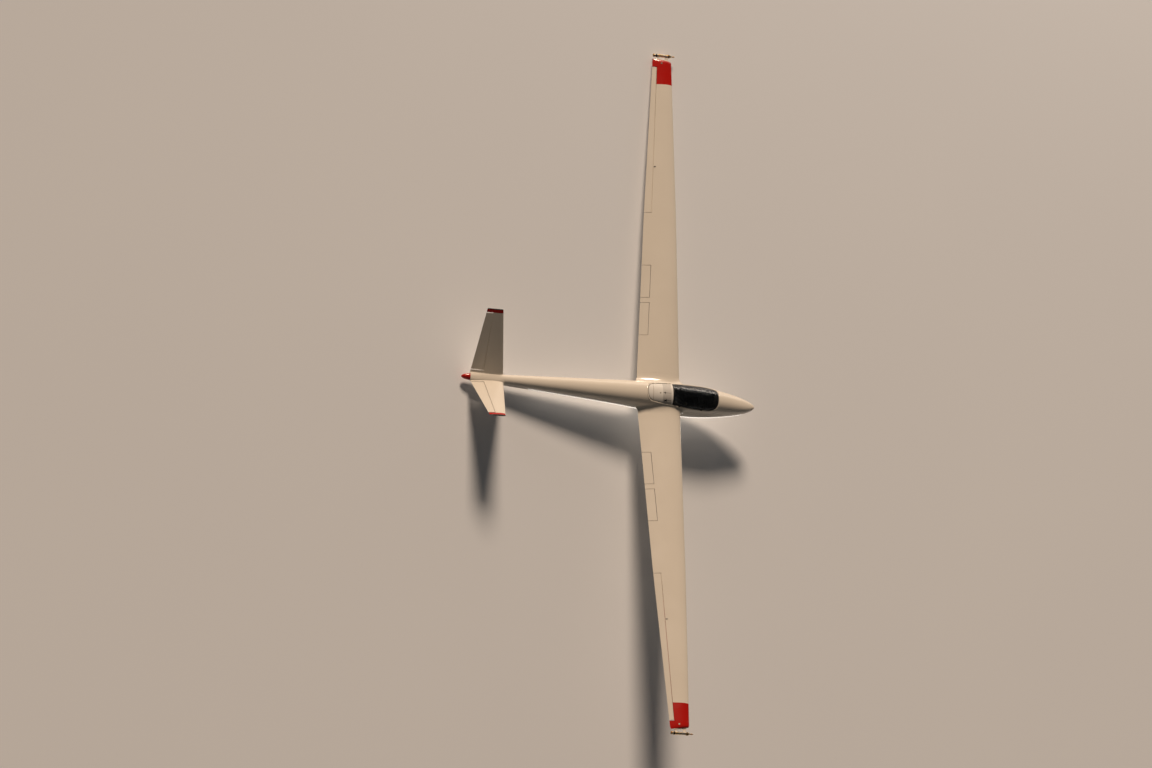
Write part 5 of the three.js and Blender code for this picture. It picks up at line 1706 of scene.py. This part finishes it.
for name, side in SIDES:
    put(
        tail_fin(side), f"tail_fin_skin_{name}", [white_gelcoat], stands_for=f"tail_fin_{name}",
    )
    put(
        ruddervator(side), f"ruddervator_skin_{name}", [white_gelcoat], body=f"ruddervator_{name}",
        stands_for=f"ruddervator_{name}"
    )
    put(
        tail_cap(side), f"tail_tip_cap_{name}", [red_gelcoat, moulded_rubber],
        stands_for=f"tail_tip_{name}"
    )

# The saddle: a fairing over the fuselage's end that the two fins grow out of.
# Sections in millimetres: x, half width, top, bottom.
SADDLE = (
    (-3380, 62, 186, 120), (-3520, 96, 200, 104), (-3700, 108, 203, 100), (-3930, 104, 202, 102),
    (-4168, 95, 199, 108)
)


def saddle_at(x):
    x = x / MM
    i = next((n - 1 for n in range(1, len(SADDLE)) if x >= SADDLE[n][0]), len(SADDLE) - 2)
    start, end = SADDLE[i], SADDLE[i + 1]
    t = min(max((x - start[0]) / (end[0] - start[0]), 0), 1)
    return [(start[n] + t * (end[n] - start[n])) * MM for n in (1, 2, 3)]


def saddle_point(angle, x):
    half, top, bottom = saddle_at(x)
    rise = (top - bottom) / 2 * math.sin(angle)
    return Vector((x, half * math.cos(angle), (top + bottom) / 2 + rise))


saddle = sheet(spread(0, 2 * math.pi, 48), spread(-3.380, HULL_END, 40), saddle_point)
close_ends(saddle)
put(saddle, "tail_saddle", [white_gelcoat])


def tail_root(side):
    grow = {-0.05: 1.06, -0.02: 1.06, 0.0: 1.05, 0.01: 1.03, 0.02: 1.01, TAIL_RIB: 1.0}

    def place(step, share):
        s = 0.5 + (step[0] - 0.5) * grow[share]
        edge = TAIL_ROOT + tail_span * share
        chord = tail_chord(share)
        lift = tail_up * (step[1] * half_thickness(step[0], TAIL_THICKNESS) * chord * grow[share])
        point = edge + Vector((-s * chord, 0, 0)) + lift
        return Vector((max(point.x, HULL_END), side * point.y, point.z))

    made = sheet(section_steps(28, 10), list(grow), place)
    close_ends(made)
    return made


for name, side in SIDES:
    put(tail_root(side), f"tail_root_{name}", [white_gelcoat])

# The tail cone: a red cap pushed on the fuselage's end.
CONE_START, CONE_END = -4.1686, -4.3350
CONE_MIDDLE = 0.131


def cone_share(x):
    t = min((CONE_START - x) / (CONE_START - CONE_END), 1.0)
    return math.sqrt(max(1 - t**1.75, 0))


def cone_point(angle, x):
    end = hull_point(HULL_END, angle)
    share = cone_share(x)
    return Vector((x, end.y * share, CONE_MIDDLE + (end.z - CONE_MIDDLE) * share))


rows = [CONE_START + (CONE_END - CONE_START) * math.sin(math.pi / 2 * k / 20) for k in range(21)]
cone = sheet(spread(0, 2 * math.pi, 64), rows, cone_point)
close_ends(cone)
put(cone, "tail_cone_cap", [red_gelcoat], stands_for="tail_cone")

# The canopy: a blown acrylic sheet bonded over a black frame, hinged on the right side.
SPLIT_X = -0.178
CANOPY_BAND = 0.024
CANOPY_FRAME = 0.018
CANOPY_GLASS = 0.005
HATCH_SKIN = 0.008

# Moulded black plastic: a dull black with a fine grain of 3 mm.
plastic_coat = {"Coat Weight": 0.6, "Coat Roughness": 0.05}
plastic_grain = (0.003, 0.0001, 1.0)
black_frame = new_finish(
    "black_frame", ("101113", "191A1D"), 0.003, 0.28, plastic_grain, fixed=plastic_coat
)

# Cast acrylic sheet, tinted a light grey, with smears 250 mm wide. The glass bends the light twice,
# so half of it is let straight through to keep the cockpit from going black.
acrylic = {"IOR": 1.49, "Transmission Weight": 1.0, "Alpha": 0.5}
tinted_acrylic = new_finish("tinted_acrylic", ("8F979C", "98A0A5"), 0.25, (0.01, 0.04), fixed=acrylic)


def lid_sheet(rear, front):
    """The hull's top between two stations, fine enough to cut lids from."""
    return sheet(
        spread(-0.15 * math.pi, 1.15 * math.pi, 120),
        spread(rear, front, max(2, round((front - rear) / 0.008))), lambda a, x: hull_point(x, a)
    )


def opposite(room):
    return lambda point: -room(point)


lid_edge = opening_depth(MOVING_GAP)
glass_edge = opening_depth(MOVING_GAP + CANOPY_BAND)
GLASS_REAR = SPLIT_X + MOVING_GAP / 2 + CANOPY_BAND

canopy_frame = lid_sheet(SPLIT_X + MOVING_GAP / 2, OPENING_FRONT)
carve(canopy_frame, opposite(lid_edge))
carve(canopy_frame, lambda p: min(glass_edge(p), p.x - GLASS_REAR))
outward(canopy_frame)
frame_piece = put(
    canopy_frame, "canopy_frame_ring", [black_frame], body="canopy", stands_for="canopy_frame",
)
walled(frame_piece, CANOPY_FRAME)

canopy_glass = lid_sheet(GLASS_REAR, OPENING_FRONT)
carve(canopy_glass, opposite(glass_edge))
outward(canopy_glass)
glass_piece = put(
    canopy_glass, "canopy_perspex", [tinted_acrylic], body="canopy", stands_for="canopy_glass",
)
walled(glass_piece, CANOPY_GLASS)

# The hatch: a glass-fibre lid over the equipment bay, hinged on the left side.
# Its gelcoat is newer and whiter than the hull's. A matt grey band 170 mm wide across it is a painted
# reflection, for the grey sheen of a clear pane, and the brown line, 6 mm wide, is what a sealing tape
# has left.
HATCH_BAND = (-0.300, 0.080, 0.088, 1.0)  # station, half width, where it ends, strength
TAPE_LINE = (-0.573, 0.003, 0.004, 0.75)


def across_hatch(tree, place, station, near, far, strength):
    """A band across the hatch, whose strength fades out between two distances."""
    inputs = {0: place, 1: to_nose}
    ahead = add_node(tree, "ShaderNodeVectorMath", inputs, operation="DOT_PRODUCT")
    inputs = {0: ahead.outputs["Value"], 1: to_nose.dot(STAND.translation) + station}
    distance = add_node(tree, "ShaderNodeMath", inputs, operation="SUBTRACT").outputs[0]
    distance = add_node(tree, "ShaderNodeMath", {0: distance}, operation="ABSOLUTE").outputs[0]
    inputs = {"Value": distance, "From Min": near, "From Max": far, "To Min": strength}
    return add_node(tree, "ShaderNodeMapRange", inputs | {"To Max": 0.0}).outputs["Result"]


# The grey band is a painted reflection: the grey sheen of a clear pane, put into the gelcoat's colour.
def painted_reflection_band(tree, place):
    return across_hatch(tree, place, *HATCH_BAND)


def hatch_colour(tree, place):
    coats = []
    for size, detail, dark, light in (
        (0.12, 4.0, "DEDBD6", "E9E7E3"),
        (0.02, 3.0, "BAB8B5", "CECBC7"),
    ):
        inputs = {"Vector": place, "Scale": 1 / size, "Detail": detail, "Roughness": 0.5}
        mottle = add_node(tree, "ShaderNodeTexNoise", inputs).outputs["Fac"]
        inputs = {"Factor": mottle, 6: hex_colour(dark), 7: hex_colour(light)}
        coats.append(add_node(tree, "ShaderNodeMix", inputs, data_type="RGBA").outputs[2])
    # Where the band is strong, the colour turns to the painted reflection's grey.
    inputs = {"Factor": painted_reflection_band(tree, place), 6: coats[0], 7: coats[1]}
    banded = add_node(tree, "ShaderNodeMix", inputs, data_type="RGBA").outputs[2]
    tape = across_hatch(tree, place, *TAPE_LINE)
    inputs = {"Factor": tape, 6: banded, 7: hex_colour("8F7F6A")}
    return add_node(tree, "ShaderNodeMix", inputs, data_type="RGBA").outputs[2]


hatch_rough = (0.28, 0.55, 0.0, 1.0)
hatch_gelcoat = new_finish("hatch_gelcoat", None, hatch_colour, hatch_rough, rough_by=painted_reflection_band)

hatch = lid_sheet(OPENING_REAR, SPLIT_X - MOVING_GAP / 2)
carve(hatch, opposite(lid_edge))
outward(hatch)
hatch_piece = put(
    hatch, "hatch_lid", [hatch_gelcoat, cabin_paint], body="hatch", stands_for="hatch",
)
walled(hatch_piece, HATCH_SKIN, inner=1)

# The lids' hinges: a steel pin along each side of the opening, turning in knuckles whose straps
# are screwed to the fuselage and to the lid.
PIN_RADIUS = 0.005
PIN_OUTSIDE = 0.004
KNUCKLE_RADIUS = 0.009
KNUCKLE_LONG = 0.040
KNUCKLE_GAP = 0.002
STRAP_THICK = 0.005
STRAP_TALL = 0.024


def hinge_half(ends, side, starts, upward):
    """One part's knuckles with their straps and screws."""
    along = (ends[1] - ends[0]).normalized()
    parts = []
    for foot, step in zip(ends, starts):
        a, b = foot + along * step, foot + along * (step + KNUCKLE_LONG - KNUCKLE_GAP)
        parts.append(rod_form(a, b, KNUCKLE_RADIUS, 28, 0.0012))
        low, high = (a.z + 0.004, b.z + STRAP_TALL) if upward else (a.z - STRAP_TALL, b.z - 0.004)

        def strap_point(z, x):
            return Vector((x, side * (hull_side(x, z) + STRAP_THICK), z))

        strap = sheet(spread(low, high, 4), spread(a.x, b.x, 4), strap_point)
        outward(strap)
        if sum(face.normal.y for face in strap.faces) * side < 0:
            bmesh.ops.reverse_faces(strap, faces=strap.faces)
        bmesh.ops.solidify(strap, geom=strap.faces[:], thickness=STRAP_THICK - 0.0005)
        outward(strap)
        parts.append(soften(strap, 0.0012, 2, 60))
        for share in (0.25, 0.75):
            x, z = a.x + (b.x - a.x) * share, (low + high) / 2 + (0.005 if upward else -0.005)
            screw = strap_point(z, x)
            out = hull_facing(x, z)
            out = Vector((out.x, side * out.y, out.z))
            head = [(-0.002, 0), (-0.002, 0.0042), (0.0004, 0.0042), (0.0012, 0.0034), (0.0014, 0)]
            parts.append(turned_form(head, screw, out, 16))
    return merged(*parts)


for name, side, stations in (("canopy", -1, (-0.060, 0.430)), ("hatch", 1, (-0.540, -0.240))):
    ends = []
    for x in stations:
        z = sill_at(x) - 0.002
        ends.append(Vector((x, side * (hull_side(x, z) + PIN_OUTSIDE), z)))
    along = (ends[1] - ends[0]).normalized()
    pin = ends[0] - along * KNUCKLE_LONG, ends[1] + along * KNUCKLE_LONG
    put(
        rod_form(*pin, PIN_RADIUS, 24, 0.0015), f"{name}_pin", [plated_steel],
        stands_for=f"{name}_hinge_pin"
    )
    fixed = hinge_half(ends, side, (-KNUCKLE_LONG, KNUCKLE_GAP), False)
    put(fixed, f"{name}_hinge_fixed", [white_gelcoat])
    moving = hinge_half(ends, side, (KNUCKLE_GAP, -KNUCKLE_LONG), True)
    finish = black_frame if name == "canopy" else white_gelcoat
    put(moving, f"{name}_hinge_moving", [finish], body=name)

# The sill's lip: a round bead of gelcoat and filler along the edge of the opening, outside the
# lids. It stops at the hinges.
LIP_HALF, LIP_HIGH = 0.011, 0.007


def opening_line(inset):
    """The opening's edge on the left side, from its rear to its front, as points on the hull."""
    _, _, behind, before = opening_curves(inset)
    points = [on_curve(behind, t) for t in spread(0, 1, 900)]
    points += [behind[-1].lerp(before[0], t) for t in spread(0, 1, 300)[1:-1]]
    points += [on_curve(before, t) for t in spread(0, 1, 900)]
    shown = [p for p in points if p.y < hull_at(p.x)[1] - 1e-6]
    line = [Vector((p.x, hull_side(p.x, p.y), p.y)) for p in shown]
    line[0].y = line[-1].y = 0.0
    return line


left_line = opening_line(-0.0005 - LIP_HALF)
right_line = [Vector((p.x, -p.y, p.z)) for p in reversed(left_line[:-1])]
LIP_STOPS = {1: ((-0.590, -0.190),), -1: ((-0.112, -0.008), (0.378, 0.482))}
stretches = [[left_line[0]]]
for p in left_line + right_line:
    stops = LIP_STOPS[1 if p.y > 0 else -1]
    if any(start < p.x < end for start, end in stops) and p.z < sill_at(p.x) + 0.05:
        if stretches[-1]:
            stretches.append([])
    elif not stretches[-1] or (p - stretches[-1][-1]).length > 0.008:
        stretches[-1].append(p)
stretches[0] = stretches.pop() + stretches[0]


def lip_form(line):
    """A bead along a line on the hull, thinning out at both ends."""

    def place(angle, i):
        ahead = (line[min(i + 1, len(line) - 1)] - line[max(i - 1, 0)]).normalized()
        out = hull_out(line[i])
        beside = ahead.cross(out).normalized()
        size = min(1.0, 0.3 + 0.15 * min(i, len(line) - 1 - i))
        bead = out * math.sin(angle) * LIP_HIGH + beside * math.cos(angle) * LIP_HALF
        return line[i] + bead * size

    lip = sheet(spread(0, 2 * math.pi, 18), list(range(len(line))), place)
    close_ends(lip)
    return lip


lips = [lip_form(line) for line in stretches]
put(merged(*lips), "sill_lip", [white_gelcoat], crease=60)

# Fittings of the hatch: two slides with turning latches in black plastic, and a round steel
# lift stud.


def on_skin(x, y):
    """A point of the hull's top and its outward direction."""
    step = 0.003
    along = (hull_top(x + step, y) - hull_top(x - step, y)) / (2 * step)
    aside = (hull_top(x, y + step) - hull_top(x, y - step)) / (2 * step)
    return Vector((x, y, hull_top(x, y))), Vector((-along, -aside, 1)).normalized()


def laid(bm, x, y, turned=0.0, sunk=0.0):
    """Lays a form made flat at the origin on the hull's top."""
    foot, out = on_skin(x, y)
    ahead = (Vector((1, 0, 0)) - out * out.x).normalized()
    rows = Matrix((ahead, out.cross(ahead), out)).transposed().to_4x4()
    place_it = Matrix.Translation(foot - out * sunk) @ rows @ Matrix.Rotation(turned, 4, "Z")
    return moved(bm, place_it)


SLOTS = ((-0.015, 0.6, -0.345, 0.0), (-0.150, 1.0, -0.330, 0.7))  # y, size, latch x, latch turn
latches = []
for y, size, x, turned in SLOTS:
    for k in range(9):
        rail = block_form((-0.0095, -0.0022, 0), (0.0095, 0.0022, 0.0012), 0.0004)
        latches.append(laid(rail, -0.375 + 0.0185 * k, y, 0.0, 0.0004))
    for lean in (turned, turned + 1.7):
        handle = (-0.030 * size, -0.008 * size, 0), (0.030 * size, 0.008 * size, 0.006)
        latches.append(laid(block_form(*handle, 0.0025, 3), x, y, lean, 0.001))
    base = [(-0.001, 0), (-0.001, 0.016 * size), (0.0030, 0.016 * size), (0.0075, 0.012 * size)]
    base.append((0.0075, 0))
    latches.append(laid(turned_form(base, (0, 0, 0), (0, 0, 1), 28), x, y))
put(merged(*latches), "hatch_latches", [black_frame], body="hatch")
STUD = [(-0.001, 0), (-0.001, 0.014), (0.001, 0.014), (0.002, 0.012), (0.002, 0.008)]
STUD += [(0.0005, 0.007), (0.0005, 0)]
stud = laid(turned_form(STUD, (0, 0, 0), (0, 0, 1), 32), -0.437, -0.025)
put(stud, "hatch_stud", [plated_steel], body="hatch")
